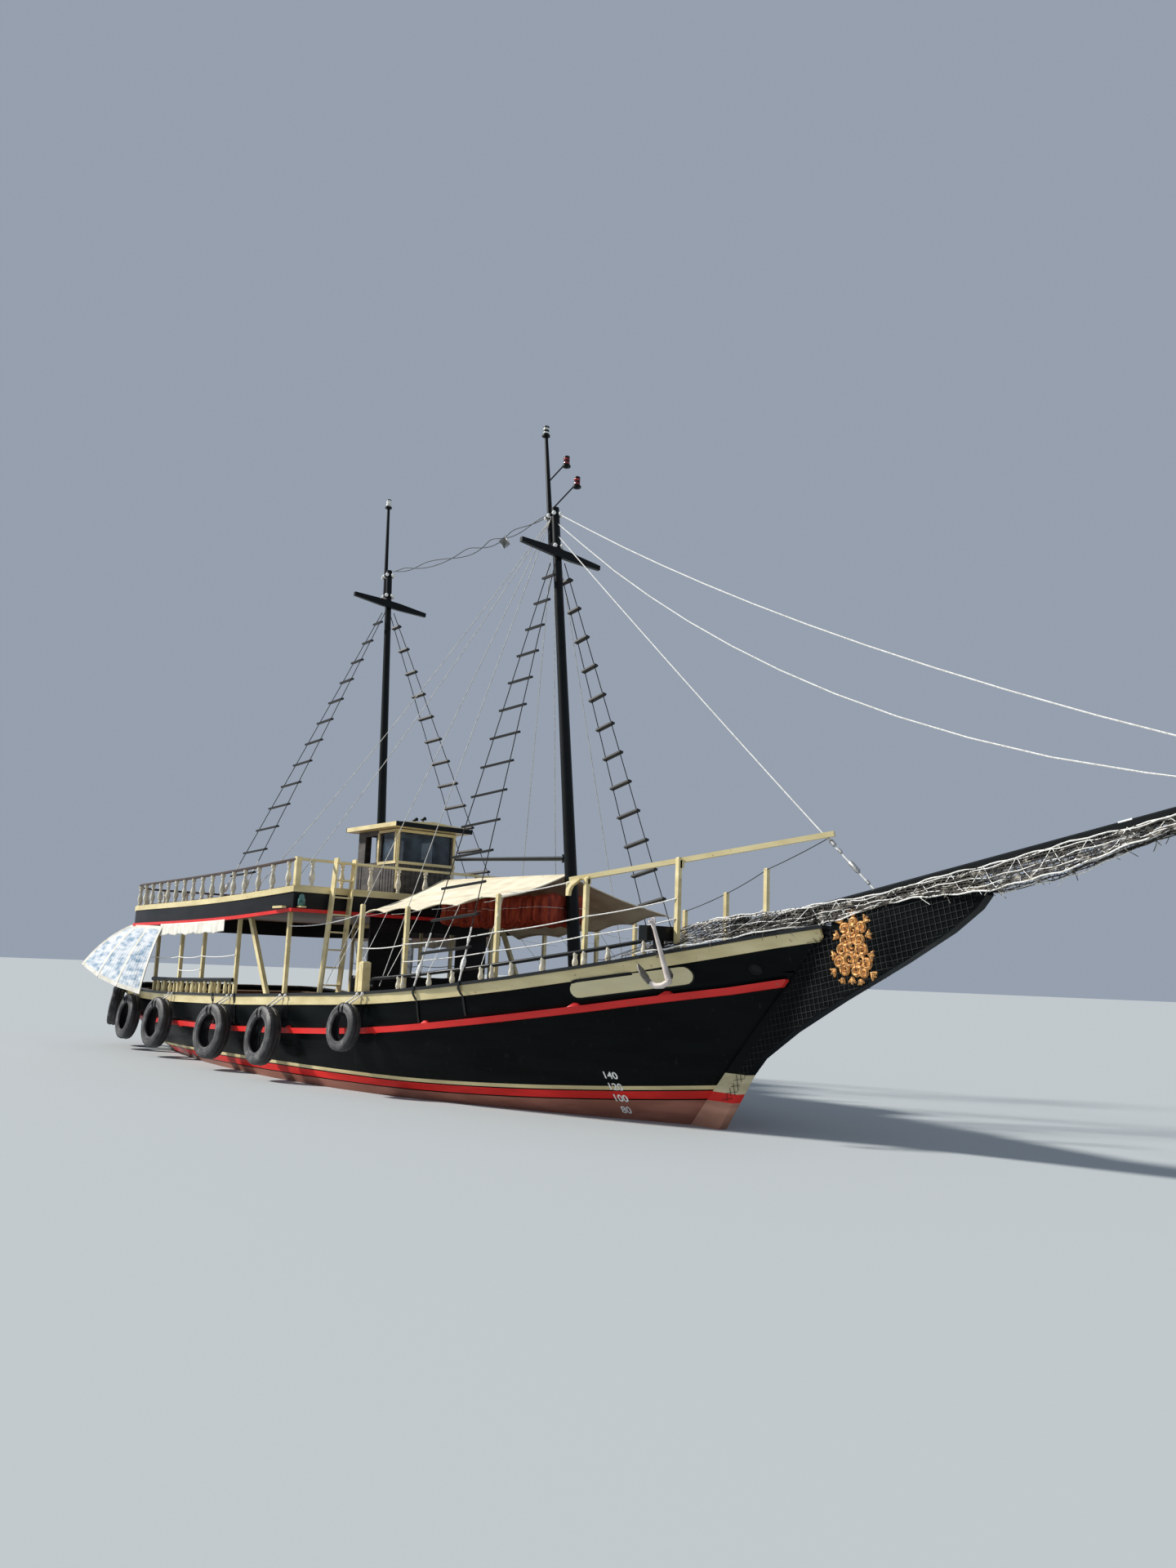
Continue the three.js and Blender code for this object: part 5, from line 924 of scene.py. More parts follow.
# Masthead fittings
# White insulated clamps hold the topmasts and stays. Lamps stand on the topmasts and on two iron arms.
MAIN_FOOT, MAIN_HEAD = Vector((5.42, 0, 1.83)), Vector((3.86, 0, 13.445))
AFT_FOOT, AFT_HEAD = Vector((-3.317, 0, 4.09)), Vector((-4.01, 0, 13.87))
MAIN_TOP_FOOT, MAIN_TOP_HEAD = Vector((3.785, 0, 12.43)), Vector((3.36, 0, 15.455))
AFT_TOP_FOOT, AFT_TOP_HEAD = Vector((-4.15, 0, 12.985)), Vector((-4.31, 0, 15.895))


def on_mast(foot, head, z):
    """The middle of a mast at a height."""
    return foot.lerp(head, (z - foot.z) / (head.z - foot.z))


clamp_white = mottled("clamp_white", 0.3, "rope_white",
                      [(0.35, (0.75, 0.75, 0.73)), (0.6, (0.95, 0.95, 0.93))], 30)
MAST_R, TOPMAST_R, CLAMPS_ROUND = 0.115, 0.085, (-0.9, 0.3, 1.6, 3.4)
CLAMP = ((0, 0.02), (0.25, 0.045), (0.5, 0.052), (0.75, 0.045), (1, 0.02))
clamps, hoops = Stock(), Stock()
for lower, upper, levels in (((MAIN_FOOT, MAIN_HEAD), (MAIN_TOP_FOOT, MAIN_TOP_HEAD), (12.45, 13.28)),
                             ((AFT_FOOT, AFT_HEAD), (AFT_TOP_FOOT, AFT_TOP_HEAD), (13.1, 13.72))):
    for z in levels:
        for ends, radius in ((lower, MAST_R), (upper, TOPMAST_R)):
            hub = on_mast(*ends, z)
            hoops.rope(hoop(hub, Vector((radius, 0, 0)), Vector((0, radius, 0)), 16), 0.022, closed=True)
            for a in CLAMPS_ROUND:
                knob = hub + Vector((math.cos(a), math.sin(a), 0)) * (radius + 0.03)
                clamps.turned(knob - upward(0.05), knob + upward(0.05), CLAMP, 8)
clamps.made("masthead_clamps", clamp_white)
hoops.made("mast_hoops", black_enamel)

red_glass = mottled("red_lamp_glass", 0.15, "window_glass",
                    [(0.35, (0.2, 0.006, 0.008)), (0.7, (0.42, 0.03, 0.03))], 12)
clear_glass = mottled("clear_lamp_glass", 0.12, "window_glass",
                      [(0.35, (0.65, 0.65, 0.58)), (0.7, (0.95, 0.95, 0.9))], 12)
LANTERNS = ((MAIN_TOP_HEAD, "masthead_lamp_main", clear_glass),
            (AFT_TOP_HEAD, "masthead_lamp_aft", clear_glass),
            (Vector((4.136, 0.072, 14.45)), "signal_lamp_upper", red_glass),
            (Vector((4.526, 0.106, 13.824)), "signal_lamp_lower", red_glass))
# Share of the height and radius of the glass, the housing under it and the lid
LENS = ((0, 0.06), (0.15, 0.075), (0.45, 0.062), (0.75, 0.075), (1, 0.06))
HOUSING, LID = ((0, 0.03), (0.35, 0.1), (0.75, 0.1), (1, 0.07)), ((0, 0.072), (0.5, 0.07), (1, 0.03))
housings = Stock()
for at, name, glass in LANTERNS:
    lamp = Stock()
    lamp.turned(at + upward(0.02), at + upward(0.2), LENS, 14)
    lamp.made(name, glass)
    housings.turned(at - upward(0.07), at + upward(0.02), HOUSING, 14)
    housings.turned(at + upward(0.2), at + upward(0.24), LID, 14)
housings.made("lamp_housings", black_enamel)

# Rope ladders
# Each pair of shrouds is a black rope ladder with flat wooden rungs lashed across it.
rung_wood = mottled("rung_wood", 0.6, "rope_dark",
                    [(0.3, (0.004, 0.004, 0.004)), (0.7, (0.02, 0.019, 0.018))], 12, (1, 1, 4))
# Each pair's mast, the x of its two rope feet, the height of its eyes, and its rungs
LADDERS = (
    ("main", MAIN_FOOT, MAIN_HEAD, (4.39, 5.58), 12.05, 14),
    ("aft", AFT_FOOT, AFT_HEAD, (-4.46, -3.15), 12.6, 13),
)
SHROUD_R, EYE_HALF, EYE_OUT = 0.011, 0.1, 0.13
# Where each knot at a rope's foot starts and ends, and its profile
LADDER_KNOTS = ((0.02, 0.05, ((0, 0.02), (0.3, 0.05), (0.7, 0.05), (1, 0.02))),
                (0.075, 0.095, ((0, 0.015), (0.5, 0.032), (1, 0.015))))
RUNG_WIDE, RUNG_THICK, RUNG_OVER = 0.1, 0.05, 0.08
for name, foot, head, feet, eye_z, rungs in LADDERS:
    for sign, side in SIDES:
        node = f"ratlines_{name}_{side}"
        points = points_of(node)
        low = points[points[:, 2] < points[:, 2].min() + 0.25]
        ropes, boards, lashings, ends = Stock(), Stock(), Stock(), []
        for x, aside in zip(feet, (-EYE_HALF, EYE_HALF)):
            near = low[abs(low[:, 0] - x) < 0.25]
            start = Vector((x, sign * abs(near[:, 1]).max(), near[:, 2].min() + 0.02))
            eye = on_mast(foot, head, eye_z) + Vector((aside, sign * EYE_OUT, 0))
            ends.append((start, eye))
            ropes.rope(slack(start, eye, 0.0, 8), SHROUD_R)
            for low_share, high_share, knot in LADDER_KNOTS:
                lashings.turned(start.lerp(eye, low_share), start.lerp(eye, high_share), knot, 8)
            lashings.rope(slack(start, start.lerp(eye, 0.11), 0, 4), 0.017)
        for k in range(rungs):
            a, b = (start.lerp(eye, (k + 1.0) / (rungs + 0.6)) for start, eye in ends)
            over = (b - a).normalized() * RUNG_OVER
            boards.bar(a - over, b + over, RUNG_WIDE, RUNG_THICK, up=(0, sign * 0.3, 1))
        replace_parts(ropes.made(f"shroud_ropes_{name}_{side}", tarred), node)
        boards.made(f"shroud_rungs_{name}_{side}", rung_wood, angle=30)
        lashings.made(f"shroud_lashings_{name}_{side}", rope_white)

# Stays
# White braided lines from the masthead to the bowsprit, with a bottle screw on the inner one.
dressed(["forestay_inner", "forestay_middle", "forestay_outer"], rope_white, 60)
steel = mottled("galvanised_steel", 0.42, "galvanised",
                [(0.35, (0.3, 0.3, 0.3)), (0.65, (0.55, 0.55, 0.54))], 30, metallic=0.7)
STAY_LOW, STAY_TOP = Vector((13.075, 0, 4.17)), Vector((3.947, 0, 12.8))
# Share of the way up the stay, length and radius of the screw's barrel, jaws and nuts
SCREW = ((0.012, 0.1, 0.03), (0.035, 0.3, 0.045), (0.075, 0.12, 0.03), (0.09, 0.16, 0.04))
screw = Stock()
for share, long, radius in SCREW:
    foot = STAY_LOW.lerp(STAY_TOP, share)
    screw.turned(foot, foot + (STAY_TOP - STAY_LOW).normalized() * long,
                 ((0, radius * 0.4), (0.15, radius), (0.85, radius), (1, radius * 0.4)))
screw.made("forestay_bottle_screw", steel)

# Running rigging
# Thin grey ropes come down from the masthead to both rails, and two loosely twisted wires join the masts,
# with a folded metal radar reflector hung under them.
grey_rope = mottled("grey_rope", 0.8, "rope_white", [(0.35, (0.3, 0.3, 0.3)), (0.65, (0.55, 0.54, 0.5))], 12)
LINE_R, WIRE_R, WIRE_SAG, WIRE_SWING = 0.009, 0.01, 0.22, 0.085
# Each rope's x, distance out, height of its lower end, and sag
ROPES = ((-0.5, 3.86, 4.42, 0.25), (-2.4, 4.0, 4.28, 0.25), (1.0, 3.62, 2.12, 0.0), (3.1, 3.42, 2.24, 0.0))
WIRE_AFT, WIRE_FORE = Vector((-3.78, 0, 13.8)), Vector((3.7, 0, 13.35))
rigging, wires = Stock(), Stock()
for sign in (-1, 1):
    eye = on_mast(MAIN_FOOT, MAIN_HEAD, 13.2) + Vector((-0.12, sign * 0.05, 0))
    for x, out, z, drop in ROPES:
        rigging.rope(slack(eye, (x, sign * out, z), drop, 14), LINE_R, 4)
rigging.made("running_rigging", grey_rope)
for phase in (0, math.pi):
    line = []
    for share in np.linspace(0, 1, 61):
        turn = phase + 5.5 * math.pi * share + 0.8 * math.sin(9 * share)
        swing = WIRE_SWING * max(math.sin(math.pi * share), 0) ** 0.5
        line.append(WIRE_AFT.lerp(WIRE_FORE, share) - upward(4 * WIRE_SAG * share * (1 - share))
                    + Vector((0, math.cos(turn), math.sin(turn))) * swing)
    wires.rope(line, WIRE_R, 5)
wires.made("mast_wires", tarred)
REFLECTOR_AT, REFLECTOR_R, REFLECTOR_THICK = Vector((1.81, 0, 13.16)), 0.17, 0.006
reflector = Stock()
for a, b in (((1, 0, 0), (0, 1, 0)), ((0, 1, 0), (0, 0, 1)), ((1, 0, 0), (0, 0, 1))):
    a, b = Vector(a) * REFLECTOR_R, Vector(b) * REFLECTOR_R
    n = a.cross(b).normalized() * REFLECTOR_THICK / 2
    plate = [REFLECTOR_AT + p for p in (a, b, -a, -b)]
    reflector.skin([[p - n for p in plate], [p + n for p in plate]])
reflector.rope([REFLECTOR_AT + upward(REFLECTOR_R), REFLECTOR_AT + upward(0.24)], 0.006, 5)
reflector.made("radar_reflector", steel, angle=20)

# Bowsprit
# A long black squared spar, with a white collar clamped round it towards its end.
SPRIT_SLOPE, SPRIT_TOP, SPRIT_X = 0.1919, 4.165, 12.96
COLLAR_X, COLLAR_LONG, COLLAR_HALF, COLLAR_TALL = 17.3, 0.2, 0.068, 0.115


def sprit_top(x):
    return SPRIT_TOP + (x - SPRIT_X) * SPRIT_SLOPE


collar = Stock()
middle, along = Vector((COLLAR_X, 0, sprit_top(COLLAR_X) - 0.11)), Vector((COLLAR_LONG / 2, 0, 0.019))
collar.swept([middle - along, middle + along], oblong(COLLAR_HALF, COLLAR_TALL), up=(0, 0, 1))
collar.made("bowsprit_collar", clamp_white, angle=30)

# Bowsprit net
# Dark netting with frayed white ropes along it. It spreads from the bowsprit to each cap rail over the
# foredeck and hangs under the spar ahead of the bow.
weathered = mottled("weathered_net", 0.9, "rope_dark",
                    [(0.36, (0.015, 0.013, 0.012)), (0.55, (0.09, 0.08, 0.066)),
                     (0.68, (0.46, 0.43, 0.37))], 7, detail=8)
draw = random.Random(7)
NET_AFT, NET_FORE, BOW_X = 8.75, 19.4, 11.8
NET_ROPES, EDGE_ROPES, PALE_ROPES, NET_LOOPS, STRANDS = 15, (0, 14), (0, 1, 5, 9, 14), 96, 110
# x and height of the net's upper edge, where it lies heaped over the spar's heel
NET_TOP = ((8.75, 3.62), (9.65, 3.76), (10.85, 3.84), (12.96, 4.06), (15.6, 4.56), (19.4, 5.29))
# x and how far the net's lower edge hangs below the spar's top
NET_DROP = ((11.8, 0.28), (14, 0.33), (15.3, 0.53), (16.4, 0.5), (17.3, 0.38), (19.4, 0.14))


def net_edges(x, sign):
    """The inner and outer edge of the net at x."""
    half = 0.13 - (x - 10) * 0.006
    inner = Vector((x, sign * max(half, 0.06), float(np.interp(x, *zip(*NET_TOP)))))
    if x < BOW_X:
        outer = Vector((x, sign * (cap_half(x) + 0.01), cap_top(x) + 0.03))
    else:
        drop = float(np.interp(x, *zip(*NET_DROP)))
        hung = Vector((x, sign * (0.17 + 0.05 * math.sin(x * 1.3)), sprit_top(x) - drop))
        rail = Vector((x, sign * (cap_half(min(x, 12.0)) + 0.02), cap_top(min(x, 12.0)) + 0.05))
        outer = rail.lerp(hung, min((x - BOW_X) / 1.2, 1))
    return inner, outer


for sign, side in SIDES:
    dark, pale = Stock(), Stock()
    for k in range(NET_ROPES):
        share = k / (NET_ROPES - 1)
        wave, phase = draw.uniform(0.008, 0.02), draw.uniform(0, 6)
        line = []
        for x in np.arange(NET_AFT + draw.uniform(0, 0.5), NET_FORE - draw.uniform(0, 0.4), 0.14):
            inner, outer = net_edges(x, sign)
            p = inner.lerp(outer, share) - upward(0.05 * math.sin(math.pi * share))
            p.z += wave * math.sin(phase + x * 3.1) + 0.012 * math.sin(phase * 3 + x * 11)
            p.y += sign * 0.014 * math.sin(phase + x * 5.3)
            line.append(p)
        (pale if k in PALE_ROPES else dark).rope(line, 0.013 if k in EDGE_ROPES else 0.009, 5)
    for k in range(NET_LOOPS):
        x = NET_AFT + 0.1 + k * 0.11
        for lean in (-0.3, 0.3):
            inner, outer = net_edges(x, sign)[0], net_edges(min(x + lean, NET_FORE), sign)[1]
            middle = inner.lerp(outer, 0.5) - upward(0.05)
            (pale if k % 5 == 2 else dark).rope([inner, middle, outer], 0.006, 4)
    for k in range(STRANDS):
        x = draw.uniform(NET_AFT - 0.1, NET_AFT + 3.0) if k % 2 else draw.uniform(11.5, 18.5)
        inner, outer = net_edges(min(x, NET_FORE), sign)
        start = inner.lerp(outer, draw.uniform(0.5, 1.05))
        aside = Vector((draw.uniform(-0.22, 0.22), sign * draw.uniform(0, 0.03), draw.uniform(-0.16, 0.02)))
        bend = Vector((draw.uniform(-0.05, 0.05), sign * 0.02, 0.02))
        (pale if k % 6 == 0 else dark).rope([start, start + aside * 0.5 + bend, start + aside], 0.0055, 4)
    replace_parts(dark.made("bowsprit_net_" + side, weathered), "bow_net_" + side)
    pale.made("bowsprit_net_ropes_" + side, rope_white)

# Canopy
# A cream canvas awning laced over a ridge wire. Its starboard eave is scalloped between the stanchions and
# its port side is drawn farther forward. Seams run over it, and hems are turned along its eaves.
CANOPY_SAG, SCALLOP, BAYS = 0.06, 0.06, 4
SEAM_STEP, SEAM_WIDE, HEM_R = 1.35, 0.018, 0.016
# x of the starboard eave and of the ridge, ridge height, starboard eave height and distance out, port eave
# x, height and distance out
CANOPY = (
    (1.25, -0.2, 4.812, 3.8, 2.9, -0.2, 3.5, 2.45), (2.15, 1.35, 4.795, 3.83, 2.87, 1.5, 3.56, 2.45),
    (3.35, 2.65, 4.78, 3.86, 2.74, 3.0, 3.68, 2.45), (4.6, 3.8, 4.765, 3.955, 2.59, 4.3, 3.85, 2.45),
    (5.92, 4.9, 4.75, 4.09, 2.44, 5.54, 4.02, 2.39),
)
canvas = Finish("canopy_canvas", 0.85, "canvas")
tone = canvas.shaded(canvas.patches(1.6, (0.6, 1.2, 1), 8),
                     [(0.34, (0.66, 0.58, 0.42)), (0.52, (0.8, 0.72, 0.54)), (0.7, (0.86, 0.79, 0.62))])
canvas.coloured(canvas.mixed(canvas.seams("X", SEAM_STEP, SEAM_WIDE), tone, (0.46, 0.4, 0.27)))
canvas.bumped(canvas.patches(60, detail=3), 0.15, 0.003)


def canopy_point(along, across):
    """A point of the canopy, 0 to 1 along the boat and -1 at the starboard eave to 1 at the port one."""
    board_x, ridge_x, ridge, board_eave, board_half, *port = along_line(CANOPY, along)
    far_x, far_z, far_half = (board_x, board_eave, board_half) if across < 0 else port
    share = abs(across)
    bays = abs(math.sin(BAYS * math.pi * along))
    lift = (SCALLOP * bays - 0.02 * (1 - bays)) * share ** 3
    crease = 0.012 * math.sin(along * 46 + across * 5) * share * (1 - share) * 4
    z = ridge + (far_z - ridge) * share - 4 * CANOPY_SAG * share * (1 - share) + lift + crease
    return Vector((ridge_x + (far_x - ridge_x) * share, math.copysign(far_half * share, across), z))


def along_line(rows, u):
    """The measures at u, from 0 to 1 along rows of them."""
    stations = np.linspace(0, 1, len(rows))
    return [float(np.interp(u, stations, column)) for column in zip(*rows)]


def sheeted(name, point, rows, columns, finish, thick=0.0):
    """A cloth over a grid of points given by point(u, v), with a thickness where one is given."""
    mesh = bpy.data.meshes.new(name)
    grid = [point(i / (rows - 1), j / (columns - 1)) for i in range(rows) for j in range(columns)]
    faces = [(i * columns + j, i * columns + j + 1, (i + 1) * columns + j + 1, (i + 1) * columns + j)
             for i in range(rows - 1) for j in range(columns - 1)]
    mesh.from_pydata([tuple(p) for p in grid], [], faces)
    mesh.shade_smooth()
    mesh.update()
    piece = placed(name, mesh, finish)
    if thick:
        body = piece.modifiers.new("thickness", "SOLIDIFY")
        body.thickness = thick
        body.offset = 0
    return piece


canopy = sheeted("canopy_canvas", lambda u, v: canopy_point(u, v * 2 - 1), 61, 41, canvas, 0.006)
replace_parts(canopy, "canopy")
hems, lacing = Stock(), Stock()
for across in (-1, 1):
    hems.rope([canopy_point(t, across) for t in np.linspace(0, 1, 61)], HEM_R)
for along in (0, 1):
    hems.rope([canopy_point(along, t) for t in np.linspace(-1, 1, 31)], HEM_R)
hems.rope([canopy_point(t, 0) + upward(0.008) for t in np.linspace(0, 1, 31)], 0.014)
hem = hems.made("canopy_hems", canvas)
for along in np.linspace(0, 1, BAYS + 1):
    for sign in (-1, 1):
        eave = canopy_point(along, sign)
        for aside, length, inset, z, radius in ((0, 0.05, 0.13, eave.z - 0.12, 0.007),
                                                (0.1, 0.16, 0.06, cap_top(eave.x) + 0.3, 0.006)):
            foot = (eave.x + length, sign * (cap_half(eave.x) - inset), z)
            lacing.rope(slack(eave + Vector((aside, 0, 0)), foot, 0.02, 5), radius, 4)
tied = lacing.made("canopy_lacing", rope_white)

# Life jackets
# Orange nylon life jackets stuffed with foam hang side by side in two rows under the ridge of the canopy,
# each folded into upright pleats and tied with pale tapes.
stow_low, stow_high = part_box("life_jackets")
nylon = mottled("life_jacket_nylon", 0.75, "vest_orange",
                [(0.32, (0.2, 0.018, 0.01)), (0.55, (0.45, 0.06, 0.022)), (0.72, (0.58, 0.11, 0.04))], 5,
                (2, 2, 0.6), 6)
nylon.bumped(nylon.patches(40, detail=6), 0.3, 0.006)
draw = random.Random(11)
JACKETS, JACKET_PLEATS, JACKET_RINGS, JACKET_SIDES = 15, 5, 13, 40
JACKET_TIE, TAPE_WIDE, TAPE_THICK = 0.55, 0.024, 0.008
jacket_long, jacket_wide = (stow_high.x - stow_low.x) / JACKETS, stow_high.y - 0.02
tapes = Stock()
for sign, side in SIDES:
    jackets = Stock()
    for i in range(JACKETS):
        middle = Vector((stow_low.x + jacket_long * (i + 0.5), sign * (jacket_wide / 2 + 0.02), 0))
        foot = stow_low.z + draw.uniform(0.0, 0.12)
        tall = stow_high.z - draw.uniform(0.0, 0.06) - foot
        phase = draw.uniform(0, 6)
        rings = []
        for share in np.linspace(0, 1, JACKET_RINGS):
            end = max(1 - abs(share * 2 - 1) ** 7, 0.02) ** 0.5
            pinch = 1 - 0.1 * math.exp(-((share - JACKET_TIE) / 0.08) ** 2)
            ring = []
            for around in np.linspace(0, 2 * math.pi, JACKET_SIDES, endpoint=False):
                pleat = 1 + 0.11 * math.sin(JACKET_PLEATS * 2 * around + phase) * (1.2 - share)
                r = end * pinch * 0.93 * pleat
                ring.append(middle + Vector((math.cos(around) * jacket_long * 0.52 * r,
                                            math.sin(around) * jacket_wide * 0.5 * r, foot + tall * share)))
            rings.append(ring)
        jackets.skin(rings)
        tape = hoop(middle + upward(foot + tall * JACKET_TIE), Vector((jacket_long * 0.47, 0, 0)),
                    Vector((0, jacket_wide * 0.455, 0)), 16)
        tapes.swept(tape, oblong(TAPE_WIDE / 2, TAPE_THICK / 2), up=(0, 0, 1), closed=True)
    row = jackets.made("life_jackets_" + side, nylon, angle=80)
    if side == "starboard":
        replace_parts(row, "life_jackets")
tapes.made("life_jacket_tapes", rope_white)

# Stern curtains and valance
# Clear ribbed vinyl in a cream border, laced out from the upper deck's edge on each quarter. Ahead of it the
# rest of the curtain is rolled up under the deck's edge.
CURTAIN_TOP = ((-8.24, 3.985, 3.5), (-9.42, 3.925, 3.53), (-10.625, 3.87, 3.545), (-11.74, 3.69, 3.55))
CURTAIN_FOOT = ((-8.89, 4.215, 1.64), (-10.2, 4.435, 1.79), (-11.59, 4.57, 2.02), (-13.09, 4.63, 2.36))
CURTAIN_BULGE, CURTAIN_OUT, CURTAIN_LIFT, CURTAIN_RIBS = 0.19, 0.063, 0.42, 24
VALANCE_AFT, VALANCE_FORE, VALANCE_LOW, VALANCE_DROP = -8.38, -3.52, 0.07, 0.31
BORDER_HALF, BORDER_THICK = 0.06, 0.004
vinyl = mottled("clear_vinyl", 0.25, "clear_vinyl",
                [(0.36, (0.26, 0.39, 0.52)), (0.48, (0.62, 0.7, 0.78)), (0.6, (0.9, 0.92, 0.94))], 4.5,
                (0.5, 0.5, 1.7), 9)
vinyl.into(vinyl.shader["Alpha"], 0.82)
border = mottled("curtain_border", 0.8, "canvas", [(0.35, (0.68, 0.65, 0.56)), (0.65, (0.84, 0.81, 0.73))], 4)


def curtain_at(u, v, sign, out=0.0):
    """A point of the curtain, from 0 to 1 aft along it and down it, moved out by a little."""
    p = Vector(along_line(CURTAIN_TOP, u)).lerp(Vector(along_line(CURTAIN_FOOT, u)), v)
    ribs = 0.012 * math.sin(u * 2 * math.pi * CURTAIN_RIBS) * (0.3 + 0.7 * math.sin(math.pi * v))
    slope = CURTAIN_LIFT * v * (1 - v) * u
    return Vector((p.x - slope, sign * (p.y + CURTAIN_BULGE * v * (1 - v) + CURTAIN_OUT + ribs + out),
                   p.z + slope))


def valance_at(u, v, sign):
    """A point of the rolled curtain, from 0 to 1 forward along it and down it."""
    x = VALANCE_AFT + (VALANCE_FORE - VALANCE_AFT) * u
    drop = v * (VALANCE_DROP + 0.02 * math.sin(u * 31) + 0.008 * math.sin(u * 74))
    wave = (0.008 + 0.006 * math.sin(u * 23)) * math.sin(u * 95) * v
    return Vector((x, sign * (rub_edge_half(x) + 0.016 + wave), rub_edge_top(x) - VALANCE_LOW - drop))


rub_edge_half, rub_edge_top, _ = edge_of("deck_edge_rub")
for sign, side in SIDES:
    curtain = sheeted(f"stern_curtain_{side}_vinyl", lambda u, v: curtain_at(u, v, sign), 121, 25, vinyl)
    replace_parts(curtain, "stern_curtain_" + side)
    edging, strip = Stock(), oblong(BORDER_HALF, BORDER_THICK)
    for v in (0.02, 0.98):
        edging.swept([curtain_at(u, v, sign, 0.006) for u in np.linspace(0, 1, 61)], strip, up=(0, sign, 0))
    for u in (0.01, 0.36, 0.69, 0.99):
        edging.swept([curtain_at(u, v, sign, 0.016) for v in np.linspace(0, 1, 15)], strip, up=(0, sign, 0))
    sewn = edging.made(f"stern_curtain_{side}_border", border)
    valance = sheeted("curtain_valance_" + side, lambda u, v: valance_at(u, v, sign), 161, 9, border, 0.004)

# Tyre fenders
# Worn car and lorry tyres hung by two ropes each from the cap rail.
TYRE_BEAD, TYRE_WIDE, TYRE_TURNS, TYRE_LEAN = 0.6, 0.5, 64, math.radians(7)
# Each tyre's x, the height of its middle and its radius
TYRES = ((-12.32, 1.18, 0.605), (-10.6, 0.92, 0.645), (-7.7, 0.905, 0.67), (-3.6, 0.92, 0.67),
         (-0.78, 0.99, 0.665), (2.42, 1.36, 0.5))
# The tread, where the surface turns away from outboard, is painted near black as painted shade, so the
# outward wall with its grey patches shows paler
tyre_rubber = Finish("worn_rubber", 0.6, "tyre_rubber")
tone = tyre_rubber.shaded(tyre_rubber.patches(4, detail=9),
                          [(0.4, (0.03, 0.03, 0.031)), (0.58, (0.08, 0.08, 0.082)),
                           (0.7, (0.2, 0.195, 0.185))])
facing = tyre_rubber.part(tyre_rubber.joined("NewGeometry", {}, "Normal"), "Y")
# painted shade on the tread, from how far the surface turns from facing outboard
shaded_tread = tyre_rubber.maths("SUBTRACT", 1, tyre_rubber.maths("ABSOLUTE", facing))
tyre_rubber.coloured(tyre_rubber.mixed(shaded_tread, tone, (0.01, 0.01, 0.011)))
tyre_rubber.bumped(tyre_rubber.patches(30, detail=6), 0.25, 0.006)
# Share of the width, and of the wall between bead and tread, round the tyre's section
TYRE_SECTION = ((0.32, 0), (0.4, 0.03), (0.45, 0.08), (0.46, 0.16), (0.49, 0.18), (0.49, 0.22),
                (0.475, 0.26), (0.5, 0.42), (0.5, 0.52), (0.485, 0.54), (0.485, 0.58), (0.5, 0.6),
                (0.485, 0.72), (0.45, 0.84), (0.38, 0.95), (0.33, 0.93), (0.25, 1), (0.1, 1), (0.08, 0.96),
                (-0.08, 0.96), (-0.1, 1), (-0.25, 1), (-0.33, 0.93), (-0.38, 0.95), (-0.45, 0.84),
                (-0.485, 0.72), (-0.5, 0.52), (-0.475, 0.26), (-0.45, 0.08), (-0.32, 0), (-0.3, 0.12),
                (-0.38, 0.3), (-0.38, 0.7), (-0.28, 0.86), (0.28, 0.86), (0.38, 0.7), (0.38, 0.3),
                (0.3, 0.12))
LUG_FROM, LUG_TO = 0.9, 0.008
LANYARD_R, LANYARD_LEANS, LANYARD_AHEAD = 0.015, (-0.3, 0.08), 0.36
